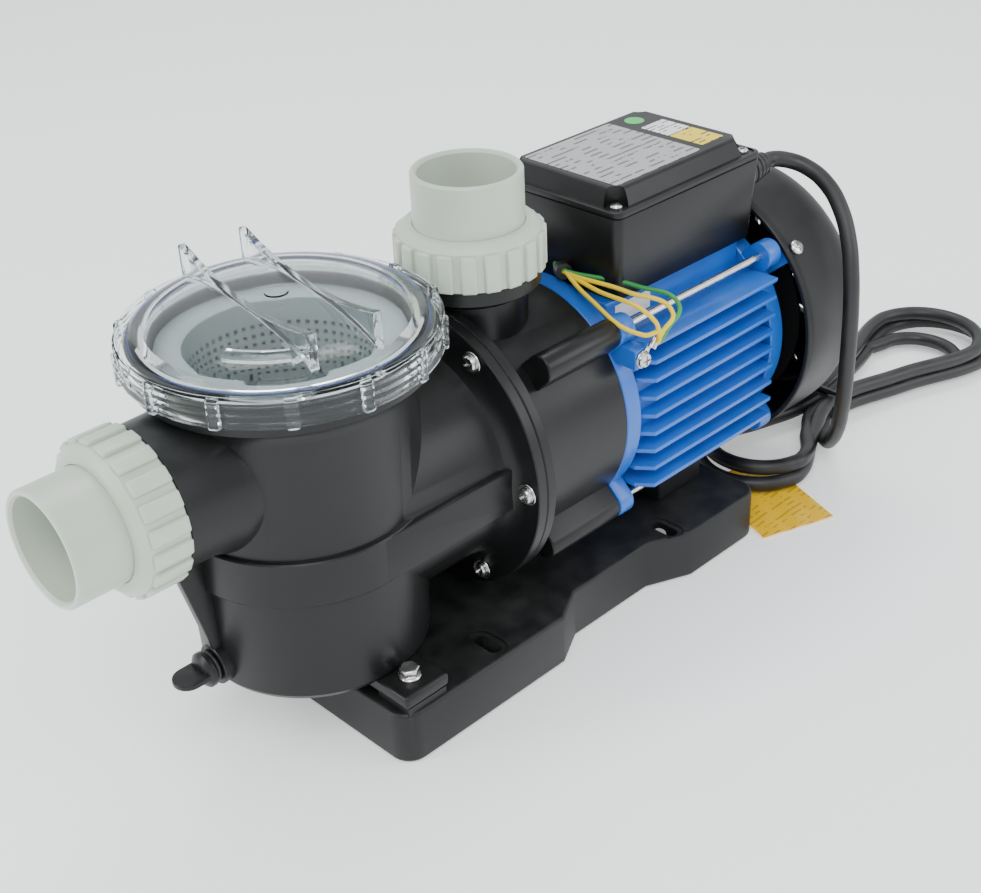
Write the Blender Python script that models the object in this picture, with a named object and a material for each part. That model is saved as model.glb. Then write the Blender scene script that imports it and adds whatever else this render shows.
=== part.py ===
"""Self-priming pool pump: strainer pot, casing, finned motor, terminal box and mains lead.

Metres, +Z up. The origin is on the floor under the middle of the base plate, and +X runs
along the shaft from the suction union to the fan cover.
"""
import bmesh
import bpy
from math import asin, atan2, cos, hypot, pi, radians, sin, sqrt
from mathutils import Matrix, Vector

# ---------------------------------------------------------------- driving dimensions
GAP = 0.0003                 # clearance between touching pieces

BASE_LENGTH = 0.298
BASE_WIDTH = 0.168
BASE_WAIST = 0.144           # width between the two steps
BASE_HEIGHT = 0.032
BASE_TOP = 0.005
BASE_WALL = 0.005
BASE_CORNER = 0.012
SLOT_LENGTH = 0.018
SLOT_WIDTH = 0.008

SHAFT_HEIGHT = 0.117
SHAFT_RADIUS = 0.0085

POT_X = -0.137               # axis of the strainer pot
POT_FLOOR = 0.042            # underside of the pot
POT_RADIUS = 0.065
POT_WALL = 0.006
NECK_RADIUS = 0.0750
NECK_TOP = 0.224
BARREL_RADIUS = 0.063
BAND_HEIGHT = 0.026

FLANGE_RADIUS = 0.0835
FLANGE_X = -0.040            # mating plane of pot and casing
FLANGE_THICK = 0.0065
SCREW_CIRCLE = 0.075
SCREW_COUNT = 6
SCREW_RADIUS = 0.0025

SUCTION_HEIGHT = 0.167
SUCTION_REACH = 0.1435       # pot axis to the open end of the tail
DISCHARGE_X = -0.009
DISCHARGE_TOP = 0.268
PIPE_RADIUS = 0.030
PIPE_BORE = 0.0265
NUT_RADIUS = 0.0395
NUT_RIB = 0.0015
NUT_LENGTH = 0.026
TAIL_REACH = 0.0285          # tail beyond the nut

LID_RADIUS = 0.0795
LID_HEIGHT = 0.017
LID_RIB = 0.0028
LID_RIBS = 14
LID_TURN = radians(-9)
DOME_RADIUS = 0.072
DOME_RISE = 0.014
LID_WALL = 0.004
HANDLE_LENGTH = 0.130
HANDLE_SPACING = 0.034
HANDLE_TOP = 0.252
HANDLE_DIP = 0.009

CASING_RADIUS = 0.070
CASING_END = 0.039
SHIELD_THICK = 0.012
HOUSING_RADIUS = 0.063
HOUSING_WALL = 0.006
HOUSING_END = 0.172
FIN_REACH = 0.073
FIN_PITCH = 0.0115
FIN_THICK = 0.003
ROD_Y = 0.057                # tie rods, from the shaft axis
ROD_Z = 0.0555
ROD_RADIUS = 0.0023
EAR_RADIUS = 0.0085

COVER_RADIUS = 0.088
COVER_START = 0.186
COVER_END = 0.253
COVER_WALL = 0.003

BOX_START = 0.055
BOX_END = 0.1835
BOX_WIDTH = 0.096
BOX_RISE = 0.0635                  # box floor above the shaft
BOX_DEPTH = 0.0495
BOX_LID = 0.013
BOX_WALL = 0.003

CORD_DIAMETER = 0.010
HANK_HEIGHT = 0.021

# ---------------------------------------------------------------- derived places
SHIELD_END = CASING_END + GAP + SHIELD_THICK
REAR_START = HOUSING_END + GAP
REAR_END = REAR_START + SHIELD_THICK
POT_SEAT = SHAFT_HEIGHT - BAND_HEIGHT / 2
BOX_FLOOR = SHAFT_HEIGHT + BOX_RISE
BOX_SEAM = BOX_FLOOR + BOX_DEPTH
BOX_LID_TOP = BOX_SEAM + BOX_LID
LID_BASE = NECK_TOP + GAP
LID_TOP = LID_BASE + 0.005
LID_SKIRT = LID_TOP - LID_HEIGHT
SUCTION_END = POT_X - SUCTION_REACH
SUCTION_NUT = SUCTION_END + TAIL_REACH
DISCHARGE_NUT = DISCHARGE_TOP - TAIL_REACH
POT_FOOT = BASE_HEIGHT + 0.004 + GAP
POT_FOOT_TOP = POT_FOOT + 0.008


# ---------------------------------------------------------------- helpers
def clear_scene():
    for thing in list(bpy.data.objects):
        bpy.data.objects.remove(thing, do_unlink=True)


def finish(name, colour, roughness, metallic=0.0, alpha=1.0):
    material = bpy.data.materials.new(name)
    material.use_nodes = True
    shader = material.node_tree.nodes["Principled BSDF"]
    shader.inputs["Base Color"].default_value = (*colour, 1)
    shader.inputs["Roughness"].default_value = roughness
    shader.inputs["Metallic"].default_value = metallic
    shader.inputs["Alpha"].default_value = alpha
    material.diffuse_color = (*colour, alpha)
    return material


def place(name, bm, material=None):
    """Make a named object; one with no material is a tool that only cuts or adds."""
    mesh = bpy.data.meshes.new(name)
    bmesh.ops.recalc_face_normals(bm, faces=bm.faces)
    bm.to_mesh(mesh)
    bm.free()
    thing = bpy.data.objects.new(name, mesh)
    bpy.context.scene.collection.objects.link(thing)
    if material is None:
        thing.hide_render = True
        thing.display_type = "WIRE"
    else:
        mesh.materials.append(material)
        mesh.shade_smooth()
        mesh.set_sharp_from_angle(angle=radians(35))
    return thing


def shape(target, tool, operation="DIFFERENCE"):
    modifier = target.modifiers.new(tool.name, "BOOLEAN")
    modifier.operation = operation
    modifier.solver = "EXACT"
    modifier.object = tool
    flat = target.modifiers.new(tool.name + "_flat", "TRIANGULATE")
    flat.min_vertices = 5
    return target


def along(axis, centre):
    """Matrix that lays a Z-turned shape along X, Y or Z at a centre."""
    turn = {"Z": Matrix.Identity(4), "X": Matrix.Rotation(pi / 2, 4, "Y"),
            "Y": Matrix.Rotation(-pi / 2, 4, "X")}[axis]
    return Matrix.Translation(Vector(centre)) @ turn


def turned(profile, axis="Z", centre=(0, 0, 0), sides=40, phase=0.0):
    """Closed turned shape. The profile is a loop of (radius, height) with no repeated end."""
    bm = bmesh.new()
    rings = []
    for radius, height in profile:
        if radius < 1e-7:
            rings.append([bm.verts.new((0, 0, height))])
            continue
        ring = []
        for k in range(sides):
            angle = 2 * pi * k / sides + phase
            ring.append(bm.verts.new((radius * cos(angle), radius * sin(angle), height)))
        rings.append(ring)
    for low, high in zip(rings, rings[1:] + rings[:1]):
        if len(low) == 1 and len(high) == 1:
            continue
        for k in range(sides):
            n = (k + 1) % sides
            if len(low) == 1:
                bm.faces.new((low[0], high[k], high[n]))
            elif len(high) == 1:
                bm.faces.new((low[k], low[n], high[0]))
            else:
                bm.faces.new((low[k], low[n], high[n], high[k]))
    bmesh.ops.transform(bm, matrix=along(axis, centre), verts=bm.verts)
    return bm


def rod(radius, low, high, axis="Z", centre=(0, 0, 0), sides=24, phase=0.0):
    profile = [(0, low), (radius, low), (radius, high), (0, high)]
    return turned(profile, axis, centre, sides, phase)


def tube(inner, outer, low, high, axis="Z", centre=(0, 0, 0), sides=40):
    profile = [(inner, low), (outer, low), (outer, high), (inner, high)]
    return turned(profile, axis, centre, sides)


def prism(outline, low, high, matrix=Matrix.Identity(4)):
    """Extrude a plan outline of (x, y) points from low to high."""
    bm = bmesh.new()
    face = bm.faces.new([bm.verts.new((x, y, low)) for x, y in outline])
    out = bmesh.ops.extrude_face_region(bm, geom=[face])
    risen = [v for v in out["geom"] if isinstance(v, bmesh.types.BMVert)]
    bmesh.ops.translate(bm, vec=(0, 0, high - low), verts=risen)
    bmesh.ops.transform(bm, matrix=matrix, verts=bm.verts)
    return bm


def block(low, high):
    outline = [(low[0], low[1]), (high[0], low[1]), (high[0], high[1]), (low[0], high[1])]
    return prism(outline, low[2], high[2])


def merged(*meshes):
    """Gather separate closed meshes that don't touch into one tool."""
    whole = bmesh.new()
    for bm in meshes:
        scratch = bpy.data.meshes.new("scratch")
        bm.to_mesh(scratch)
        bm.free()
        whole.from_mesh(scratch)
        bpy.data.meshes.remove(scratch)
    return whole


def arc(cx, cy, radius, start, end, steps):
    points = []
    for k in range(steps + 1):
        angle = start + (end - start) * k / steps
        points.append((cx + radius * cos(angle), cy + radius * sin(angle)))
    return points


def rounded(x0, y0, x1, y1, radius, steps=3):
    points = arc(x1 - radius, y1 - radius, radius, 0, pi / 2, steps)
    points += arc(x0 + radius, y1 - radius, radius, pi / 2, pi, steps)
    points += arc(x0 + radius, y0 + radius, radius, pi, 3 * pi / 2, steps)
    points += arc(x1 - radius, y0 + radius, radius, 3 * pi / 2, 2 * pi, steps)
    return points


def ring_torus(major, minor, axis, centre, sides=24, around=5):
    profile = []
    for k in range(around):
        angle = 2 * pi * k / around
        profile.append((major + minor * cos(angle), minor * sin(angle)))
    return turned(profile, axis, centre, sides)


def on_shaft(x=0.0):
    return (x, 0, SHAFT_HEIGHT)


def cord_tube(name, route, radius, material, sides_quarter=2, spacing=None):
    """A filled tube on a smooth curve through the route's points."""
    spacing = spacing or 5 * radius
    knots = [Vector(p) for p in route]
    fine = []
    for i in range(len(knots) - 1):
        before = knots[max(i - 1, 0)]
        start, end = knots[i], knots[i + 1]
        after = knots[min(i + 2, len(knots) - 1)]
        for k in range(12):
            t = k / 12
            fine.append(0.5 * (2 * start + (end - before) * t
                               + (2 * before - 5 * start + 4 * end - after) * t * t
                               + (3 * start - before - 3 * end + after) * t ** 3))
    fine.append(knots[-1])
    total = sum((b - a).length for a, b in zip(fine, fine[1:]))
    count = max(3, round(total / spacing))
    points, run, target = [fine[0]], 0.0, total / count
    for a, b in zip(fine, fine[1:]):
        step = (b - a).length
        while run + step >= target and len(points) < count:
            points.append(a.lerp(b, (target - run) / step))
            target += total / count
        run += step
    points.append(fine[-1])
    points[1:2] = [knots[0].lerp(knots[1], 0.6)]
    points[-2:-1] = [knots[-1].lerp(knots[-2], 0.6)]
    curve = bpy.data.curves.new(name, "CURVE")
    curve.dimensions = "3D"
    curve.bevel_depth = radius
    curve.bevel_resolution = sides_quarter
    curve.use_fill_caps = True
    spline = curve.splines.new("POLY")
    spline.points.add(len(points) - 1)
    for point, place_ in zip(spline.points, points):
        point.co = (*place_, 1)
    thing = bpy.data.objects.new(name, curve)
    bpy.context.scene.collection.objects.link(thing)
    curve.materials.append(material)
    return thing


SHAFT_FRAME = Matrix(((0, 0, 1, 0), (1, 0, 0, 0), (0, 1, 0, SHAFT_HEIGHT), (0, 0, 0, 1)))
SIDE_FRAME = Matrix.Rotation(pi / 2, 4, "X")


def carried(name, location, *pieces):
    """Parent pieces to an empty that stands on their joint's axis."""
    empty = bpy.data.objects.new(name, None)
    bpy.context.scene.collection.objects.link(empty)
    empty.location = location
    for piece in pieces:
        piece.parent = empty
        piece.matrix_parent_inverse = Matrix.Translation(location).inverted()


def loft(levels):
    """Closed shape through outlines of equal point counts, each at its own height."""
    bm = bmesh.new()
    rings = []
    for outline, height in levels:
        rings.append([bm.verts.new((x, y, height)) for x, y in outline])
    bm.faces.new(rings[0])
    bm.faces.new(rings[-1])
    for low, high in zip(rings, rings[1:]):
        for k in range(len(low)):
            n = (k + 1) % len(low)
            bm.faces.new((low[k], low[n], high[n], high[k]))
    return bm


def ear_outline(side_y, side_z, radius, root):
    """Stadium-shaped tab from the motor's middle out to a tie rod."""
    angle = atan2(side_z, side_y)
    tip = arc(side_y, side_z, radius, angle - pi / 2, angle + pi / 2, 4)
    back_y, back_z = root * cos(angle), root * sin(angle)
    across_y, across_z = -radius * sin(angle), radius * cos(angle)
    return tip + [(back_y + across_y, back_z + across_z), (back_y - across_y, back_z - across_z)]


ROD_PLACES = [(y * ROD_Y, z * ROD_Z) for y, z in ((-1, 1), (1, 1), (1, -1), (-1, -1))]


def ears(name, low, high, radius=EAR_RADIUS):
    tabs = [prism(ear_outline(y, z, radius, 0.045), low, high, SHAFT_FRAME) for y, z in ROD_PLACES]
    return place(name, merged(*tabs))


def rod_holes(name, low, high, radius):
    holes = [rod(radius, low, high, "X", (0, y, SHAFT_HEIGHT + z), 12) for y, z in ROD_PLACES]
    return place(name, merged(*holes))


def screw_places():
    return [(SCREW_CIRCLE * cos(2 * pi * k / SCREW_COUNT), SCREW_CIRCLE * sin(2 * pi * k / SCREW_COUNT))
            for k in range(SCREW_COUNT)]


def headed(shank_radius, head_radius, head_height, length, washer=0.0, sides=9):
    """Screw along +Z with its seat at height 0 and its head above."""
    profile = [(0, -length), (shank_radius, -length), (shank_radius, 0)]
    if washer:
        profile += [(head_radius * 1.2, 0), (head_radius * 1.2, washer), (head_radius, washer)]
    else:
        profile += [(head_radius, 0)]
    top = washer + head_height
    profile += [(head_radius, top), (0, top)]
    return turned(profile, "Z", (0, 0, 0), sides)


# ---------------------------------------------------------------- base and mounting
BOLT_X = POT_X + 0.005
BOLT_Y = POT_RADIUS + 0.005
BOLT_HOLE = 0.0034
SADDLE_X = 0.115
SLOT_X = 0.075
STEP_FRONT = (-0.030, -0.008)
STEP_REAR = (0.055, 0.083)


def base_outline():
    half_l, half_w, waist = BASE_LENGTH / 2, BASE_WIDTH / 2, BASE_WAIST / 2
    r = BASE_CORNER
    side = arc(half_l - r, half_w - r, r, 0, pi / 2, 4)
    side += [(STEP_REAR[1], half_w), (STEP_REAR[0], waist)]
    side += [(STEP_FRONT[1], waist), (STEP_FRONT[0], half_w)]
    side += arc(-half_l + r, half_w - r, r, pi / 2, pi, 4)
    return side + [(x, -y) for x, y in reversed(side)]


def slot_prism(x, y):
    straight = (SLOT_LENGTH - SLOT_WIDTH) / 2
    r = SLOT_WIDTH / 2
    outline = arc(x, y + straight, r, 0, pi, 5) + arc(x, y - straight, r, pi, 2 * pi, 5)
    return prism(outline, BASE_HEIGHT - 2 * BASE_TOP, BASE_HEIGHT + 0.01)


def base_plate(black):
    base = place("base_plate", prism(base_outline(), 0, BASE_HEIGHT), black)
    pads = []
    for side in (-1, 1):
        y = side * BOLT_Y
        pads.append(block((BOLT_X - 0.012, y - 0.012, BASE_HEIGHT - 0.002),
                          (BOLT_X + 0.014, y + 0.012, POT_FOOT - GAP)))
    shape(base, place("base_pads", merged(*pads)), "UNION")
    half_l = BASE_LENGTH / 2 - BASE_WALL
    reach = BASE_WAIST / 2 - BASE_WALL
    columns, rib, spine = 4, 0.005, 0.008
    pitch = (2 * half_l + rib) / columns
    pockets = []
    for k in range(columns):
        x0 = -half_l + k * pitch
        for low, high in ((-reach, -spine), (spine, reach)):
            pockets.append(block((x0, low, -0.01), (x0 + pitch - rib, high, BASE_HEIGHT - BASE_TOP)))
    shape(base, place("base_pockets", merged(*pockets)))
    slot_y = BASE_WIDTH / 2 - SLOT_LENGTH / 2 - 0.006
    slots = [slot_prism(x, y) for x in (-SLOT_X, SLOT_X) for y in (-slot_y, slot_y)]
    shape(base, place("base_slots", merged(*slots)))
    holes = [rod(BOLT_HOLE, 0.012, 0.06, "Z", (BOLT_X, y, 0), 8) for y in (-BOLT_Y, BOLT_Y)]
    shape(base, place("base_bolt_holes", merged(*holes)))


def motor_saddle(black):
    low = BASE_HEIGHT + GAP
    width, length = 0.048, 0.020
    saddle = place("motor_saddle", block((SADDLE_X - length, -width, low),
                                         (SADDLE_X + length, width, SHAFT_HEIGHT - 0.049)), black)
    seat = rod(HOUSING_RADIUS + GAP, SADDLE_X - 0.1, SADDLE_X + 0.1, "X", on_shaft(), 30)
    shape(saddle, place("saddle_seat", seat))


def base_bolts(steel):
    for index, y in enumerate((-BOLT_Y, BOLT_Y), 1):
        bolt = headed(0.003, 0.005, 0.005, 0.022, 0.0016, 8)
        bmesh.ops.translate(bolt, vec=(BOLT_X, y, POT_FOOT_TOP + GAP), verts=bolt.verts)
        place(f"base_bolt_{index}", bolt, steel)


# ---------------------------------------------------------------- strainer pot
DRAIN_HEIGHT = POT_FLOOR + 0.0145
DRAIN_FACE = POT_X - POT_RADIUS - 0.002
DRAIN_BORE = 0.0063
PORT_BORE = 0.025
SPIGOT_RADIUS = NUT_RADIUS - 0.0045
SUCTION_FACE = SUCTION_NUT + 0.0085
DISCHARGE_FACE = DISCHARGE_NUT - 0.0085
RING_GROOVE = 0.0698
BASKET_LEDGE = NECK_TOP - 0.010


def strainer_pot(black):
    neck_low = LID_SKIRT - 0.004
    radius = POT_RADIUS
    inner = radius - POT_WALL
    profile = [(0, POT_FLOOR), (radius - 0.006, POT_FLOOR), (radius - 0.003, POT_FLOOR + 0.004),
               (radius - 0.0025, POT_SEAT), (radius + 0.001, POT_SEAT + 0.0001),
               (radius + 0.001, POT_SEAT + BAND_HEIGHT), (radius - 0.0015, POT_SEAT + BAND_HEIGHT + 0.0001),
               (radius, neck_low - 0.010), (radius + 0.005, neck_low),
               (NECK_RADIUS, neck_low + 0.001), (NECK_RADIUS, NECK_TOP), (0, NECK_TOP)]
    pot = place("strainer_pot", turned(profile, "Z", (POT_X, 0, 0), 30), black)
    flange = FLANGE_X - FLANGE_THICK
    barrel = turned([(0, POT_X), (BARREL_RADIUS, POT_X), (BARREL_RADIUS, flange), (FLANGE_RADIUS, flange),
                     (FLANGE_RADIUS, FLANGE_X), (0, FLANGE_X)], "X", on_shaft(), 30)
    shape(pot, place("pot_barrel", barrel), "UNION")
    shape(pot, place("pot_rail", block((POT_X + 0.001, -radius - 0.0012, POT_SEAT + 0.0003),
                                       (FLANGE_X - 0.002, radius + 0.0012,
                                        POT_SEAT + BAND_HEIGHT - 0.0003))), "UNION")
    stub_end = SUCTION_NUT + NUT_LENGTH + GAP
    stub = turned([(0, SUCTION_FACE), (SPIGOT_RADIUS, SUCTION_FACE), (SPIGOT_RADIUS, stub_end),
                   (NUT_RADIUS - 0.002, stub_end), (NUT_RADIUS - 0.002, POT_X), (0, POT_X)],
                  "X", (0, 0, SUCTION_HEIGHT), 28)
    shape(pot, place("pot_stub", stub), "UNION")
    web = [(stub_end + 0.004, SUCTION_HEIGHT - NUT_RADIUS + 0.008), (DRAIN_FACE + 0.004, DRAIN_HEIGHT),
           (POT_X - 0.05, DRAIN_HEIGHT), (POT_X - 0.05, SUCTION_HEIGHT - NUT_RADIUS + 0.008)]
    shape(pot, place("pot_web", prism(web, -0.003, 0.003, SIDE_FRAME)), "UNION")
    boss = rod(0.0112, DRAIN_FACE, POT_X - 0.045, "X", (0, 0, DRAIN_HEIGHT), 20)
    shape(pot, place("drain_boss", boss), "UNION")
    foot = block((BOLT_X - 0.014, -BOLT_Y - 0.013, POT_FOOT), (BOLT_X + 0.016, BOLT_Y + 0.013, POT_FOOT_TOP))
    shape(pot, place("pot_foot", foot), "UNION")
    cavity = turned([(0, POT_FLOOR + POT_WALL), (inner, POT_FLOOR + POT_WALL), (inner, BASKET_LEDGE),
                     (inner + 0.005, BASKET_LEDGE), (inner + 0.005, NECK_TOP + 0.01), (0, NECK_TOP + 0.01)],
                    "Z", (POT_X, 0, 0), 28, 0.02)
    shape(pot, place("pot_cavity", cavity))
    shape(pot, place("pot_outlet", rod(0.050, POT_X + 0.03, FLANGE_X + 0.01, "X", on_shaft(), 28)))
    shape(pot, place("pot_inlet", rod(PORT_BORE, SUCTION_FACE - 0.01, POT_X - 0.03, "X",
                                      (0, 0, SUCTION_HEIGHT), 28)))
    shape(pot, place("drain_hole", rod(DRAIN_BORE, DRAIN_FACE - 0.01, POT_X - 0.04, "X",
                                       (0, 0, DRAIN_HEIGHT), 16)))
    groove = tube(RING_GROOVE - 0.0018, RING_GROOVE + 0.0018, NECK_TOP - 0.0033, NECK_TOP + 0.01,
                  "Z", (POT_X, 0, 0), 24)
    shape(pot, place("lid_groove", groove))
    holes = [rod(BOLT_HOLE, POT_FOOT - 0.005, POT_FOOT_TOP + 0.01, "Z", (BOLT_X, y, 0), 8)
             for y in (-BOLT_Y, BOLT_Y)]
    holes += [rod(SCREW_RADIUS + GAP, FLANGE_X - 0.02, FLANGE_X + 0.02, "X", (0, y, SHAFT_HEIGHT + z), 8)
              for y, z in screw_places()]
    shape(pot, place("pot_holes", merged(*holes)))


def strainer_basket(grey):
    rim = POT_RADIUS - POT_WALL + 0.005 - GAP
    top = 0.051
    low, wall = POT_FLOOR + POT_WALL + 0.006, 0.0022
    profile = [(0, low), (top - 0.004, low), (top, BASKET_LEDGE), (top, BASKET_LEDGE + GAP),
               (rim, BASKET_LEDGE + GAP), (rim, BASKET_LEDGE + 0.003), (top - wall, BASKET_LEDGE + 0.003),
               (top - wall - 0.004, low + wall), (0, low + wall)]
    basket = place("strainer_basket", turned(profile, "Z", (POT_X, 0, 0), 28), grey)
    slots = []
    slot_count = 12
    for k in range(slot_count):
        turn = Matrix.Rotation(2 * pi * (k + 0.5) / slot_count, 4, "Z")
        for step in range(2):
            z = low + 0.012 + step * 0.066
            slot = block((0.035, -0.0032, z), (0.062, 0.0032, z + 0.056))
            bmesh.ops.transform(slot, matrix=Matrix.Translation((POT_X, 0, 0)) @ turn, verts=slot.verts)
            slots.append(slot)
    shape(basket, place("basket_slots", merged(*slots)))


def strainer_lid(clear, rubber):
    outer = LID_RADIUS
    inner = outer - LID_WALL
    dome = []
    steps = 3
    for k in range(steps + 1):
        angle = pi / 2 * k / steps
        dome.append((DOME_RADIUS * cos(angle) if k < steps else 0, LID_TOP + DOME_RISE * sin(angle)))
    under = [(max(0, r - LID_WALL) if r > 0 else 0, z - LID_WALL) for r, z in reversed(dome)]
    under[0] = (0, LID_TOP + DOME_RISE - LID_WALL)
    under[-1] = (DOME_RADIUS - LID_WALL - 0.003, LID_BASE)
    profile = [(inner, LID_SKIRT), (outer, LID_SKIRT), (outer, LID_TOP)] + dome + under
    profile += [(inner, LID_BASE)]
    lid = place("strainer_lid", turned(profile, "Z", (POT_X, 0, 0), 36), clear)
    turn = Matrix.Translation((POT_X, 0, 0)) @ Matrix.Rotation(LID_TURN, 4, "Z")
    ribs = []
    for k in range(LID_RIBS):
        rib = block((outer - 0.002, -0.0028, LID_SKIRT + 0.0004), (outer + LID_RIB, 0.0028, LID_TOP - 0.0004))
        spin = turn @ Matrix.Rotation(2 * pi * (k + 0.5) / LID_RIBS, 4, "Z")
        bmesh.ops.transform(rib, matrix=spin, verts=rib.verts)
        ribs.append(rib)
    shape(lid, place("lid_ribs", merged(*ribs)), "UNION")
    fins = []
    half = HANDLE_LENGTH / 2
    for x in (-HANDLE_SPACING / 2, HANDLE_SPACING / 2):
        outline = [(-half, LID_TOP - 0.003)]
        for k in range(9):
            s = -1 + k / 4
            outline.append((half * s, HANDLE_TOP - HANDLE_DIP * (1 - s * s)))
        outline += [(half, LID_TOP - 0.003)]
        frame = turn @ Matrix.Translation((x, 0, 0)) @ Matrix(((0, 0, 1, 0), (1, 0, 0, 0),
                                                               (0, 1, 0, 0), (0, 0, 0, 1)))
        fins.append(prism(outline, -0.0022, 0.0022, frame))
    shape(lid, place("lid_handles", merged(*fins)), "UNION")
    hollow = []
    for k in range(6):
        angle = pi / 2 * k / 5
        hollow.append(((DOME_RADIUS - LID_WALL - 0.003) * cos(angle) if k < 5 else 0,
                       LID_TOP - 0.002 + (DOME_RISE - LID_WALL + 0.0015) * sin(angle)))
    hollow = [(0, LID_BASE - 0.01), (DOME_RADIUS - LID_WALL - 0.003, LID_BASE - 0.01)] + hollow
    shape(lid, place("lid_hollow", turned(hollow, "Z", (POT_X, 0, 0), 28)))
    ring = place("lid_oring", ring_torus(RING_GROOVE, 0.0014, "Z", (POT_X, 0, NECK_TOP - 0.0016), 24, 5),
                 rubber)
    carried("lid_axis", (POT_X, 0, LID_BASE), lid, ring)


def drain_plug(black, rubber):
    z = DRAIN_HEIGHT
    head = DRAIN_FACE - 0.0031
    profile = [(0, DRAIN_FACE + 0.010), (DRAIN_BORE - GAP, DRAIN_FACE + 0.010), (DRAIN_BORE - GAP, head),
               (0.0098, head), (0.0098, head - 0.004), (0.006, head - 0.0055), (0, head - 0.0055)]
    plug = place("drain_plug", turned(profile, "X", (0, 0, z), 20), black)
    wing = arc(head - 0.0120, 0, 0.0085, pi / 2, 3 * pi / 2, 8)
    wing = [(head - 0.003, 0.0085)] + wing + [(head - 0.003, -0.0085)]
    handle = prism(wing, z - 0.0016, z + 0.0016)
    shape(plug, place("drain_wing", handle), "UNION")
    ring = place("drain_oring", ring_torus(DRAIN_BORE + 0.0014, 0.0012, "X",
                                           (DRAIN_FACE - 0.0015, 0, z), 18, 5), rubber)
    carried("drain_axis", (DRAIN_FACE, 0, z), plug, ring)


# ---------------------------------------------------------------- unions
def union_set(name, axis, centre, nut_end, face, tail_end, away, grey, rubber):
    """Nut, tail and seal of one union. Distances run along the axis; away is +1 or -1."""
    lip = nut_end
    root = nut_end - away * NUT_LENGTH
    shoulder = face + away * 0.0032
    flange_end = lip - away * (0.0030 + GAP)
    inner = SPIGOT_RADIUS + GAP
    nut_profile = [(PIPE_RADIUS + GAP, lip), (NUT_RADIUS - 0.004, lip), (NUT_RADIUS, lip - away * 0.004),
                   (NUT_RADIUS, root), (inner, root), (inner, lip - away * 0.003),
                   (PIPE_RADIUS + GAP, lip - away * 0.003)]
    nut = place(f"{name}_nut", turned(nut_profile, axis, centre, 28), grey)
    ribs = []
    rib_count = 16
    for k in range(rib_count):
        lows, highs = sorted((root + away * 0.0004, lip - away * 0.0055))
        rib = block((NUT_RADIUS - 0.002, -0.0012, lows), (NUT_RADIUS + NUT_RIB, 0.0012, highs))
        spin = along(axis, centre) @ Matrix.Rotation(2 * pi * (k + 0.5) / rib_count, 4, "Z")
        bmesh.ops.transform(rib, matrix=spin, verts=rib.verts)
        ribs.append(rib)
    shape(nut, place(f"{name}_nut_ribs", merged(*ribs)), "UNION")
    tail_profile = [(PIPE_BORE, shoulder), (SPIGOT_RADIUS - 0.001, shoulder),
                    (SPIGOT_RADIUS - 0.001, flange_end), (PIPE_RADIUS, flange_end),
                    (PIPE_RADIUS, tail_end), (PIPE_BORE, tail_end)]
    tail = place(f"{name}_tail", turned(tail_profile, axis, centre, 28), grey)
    seat = face + away * 0.0016
    spot = {"X": (seat, 0, centre[2]), "Z": (centre[0], 0, seat)}[axis]
    place(f"{name}_oring", ring_torus(0.0300, 0.0013, axis, spot, 24, 5), rubber)
    carried(f"{name}_axis", spot, nut, tail)


# ---------------------------------------------------------------- casing and wet end
CHAMBER_RADIUS = 0.062
WALL_FRONT = -0.005
WALL_BACK = 0.003
SEAT_RADIUS = 0.016
IMPELLER_RADIUS = 0.048


def pump_casing(black):
    start = FLANGE_X + GAP
    flange_end = start + FLANGE_THICK
    body = turned([(0, start), (FLANGE_RADIUS, start), (FLANGE_RADIUS, flange_end),
                   (CASING_RADIUS, flange_end), (CASING_RADIUS, CASING_END), (0, CASING_END)],
                  "X", on_shaft(), 30)
    casing = place("pump_casing", body, black)
    shape(casing, ears("casing_bosses", -0.018, CASING_END - 0.0002), "UNION")
    collar = DISCHARGE_NUT - NUT_LENGTH - GAP
    throat = FLANGE_RADIUS + SHAFT_HEIGHT + 0.001
    narrow = DISCHARGE_X - start - 0.0005
    spout = turned([(0, SHAFT_HEIGHT), (narrow, SHAFT_HEIGHT), (narrow, throat),
                    (NUT_RADIUS - 0.002, throat + 0.004), (NUT_RADIUS - 0.002, collar),
                    (SPIGOT_RADIUS, collar), (SPIGOT_RADIUS, DISCHARGE_FACE), (0, DISCHARGE_FACE)],
                   "Z", (DISCHARGE_X, 0, 0), 28, 0.013)
    shape(casing, place("casing_spout", spout), "UNION")
    shape(casing, place("volute", rod(CHAMBER_RADIUS, start - 0.01, WALL_FRONT, "X", on_shaft(), 30, 0.02)))
    shape(casing, place("lantern", rod(CHAMBER_RADIUS, WALL_BACK, CASING_END + 0.01, "X",
                                       on_shaft(), 30, 0.02)))
    shape(casing, place("seat_hole", rod(SEAT_RADIUS, WALL_FRONT - 0.01, WALL_BACK + 0.01, "X",
                                         on_shaft(), 28)))
    crown = SHAFT_HEIGHT + CHAMBER_RADIUS + 0.006
    slot = block((start + 0.0055, -0.017, SHAFT_HEIGHT + 0.040), (WALL_FRONT - 0.0015, 0.017, crown + 0.003))
    shape(casing, place("outlet_throat", slot))
    bore = rod(0.0235, crown, DISCHARGE_FACE + 0.01, "Z", (DISCHARGE_X, 0, 0), 28)
    shape(casing, place("outlet_bore", bore))
    groove = tube(0.0648, 0.0688, start - 0.01, start + 0.0033, "X", on_shaft(), 24)
    shape(casing, place("casing_groove", groove))
    holes = [rod(SCREW_RADIUS + GAP, start - 0.02, start + 0.02, "X", (0, y, SHAFT_HEIGHT + z), 8)
             for y, z in screw_places()]
    shape(casing, place("casing_holes", merged(*holes)))
    shape(casing, rod_holes("boss_holes", CASING_END - 0.013, CASING_END + 0.01, ROD_RADIUS + GAP))


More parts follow.
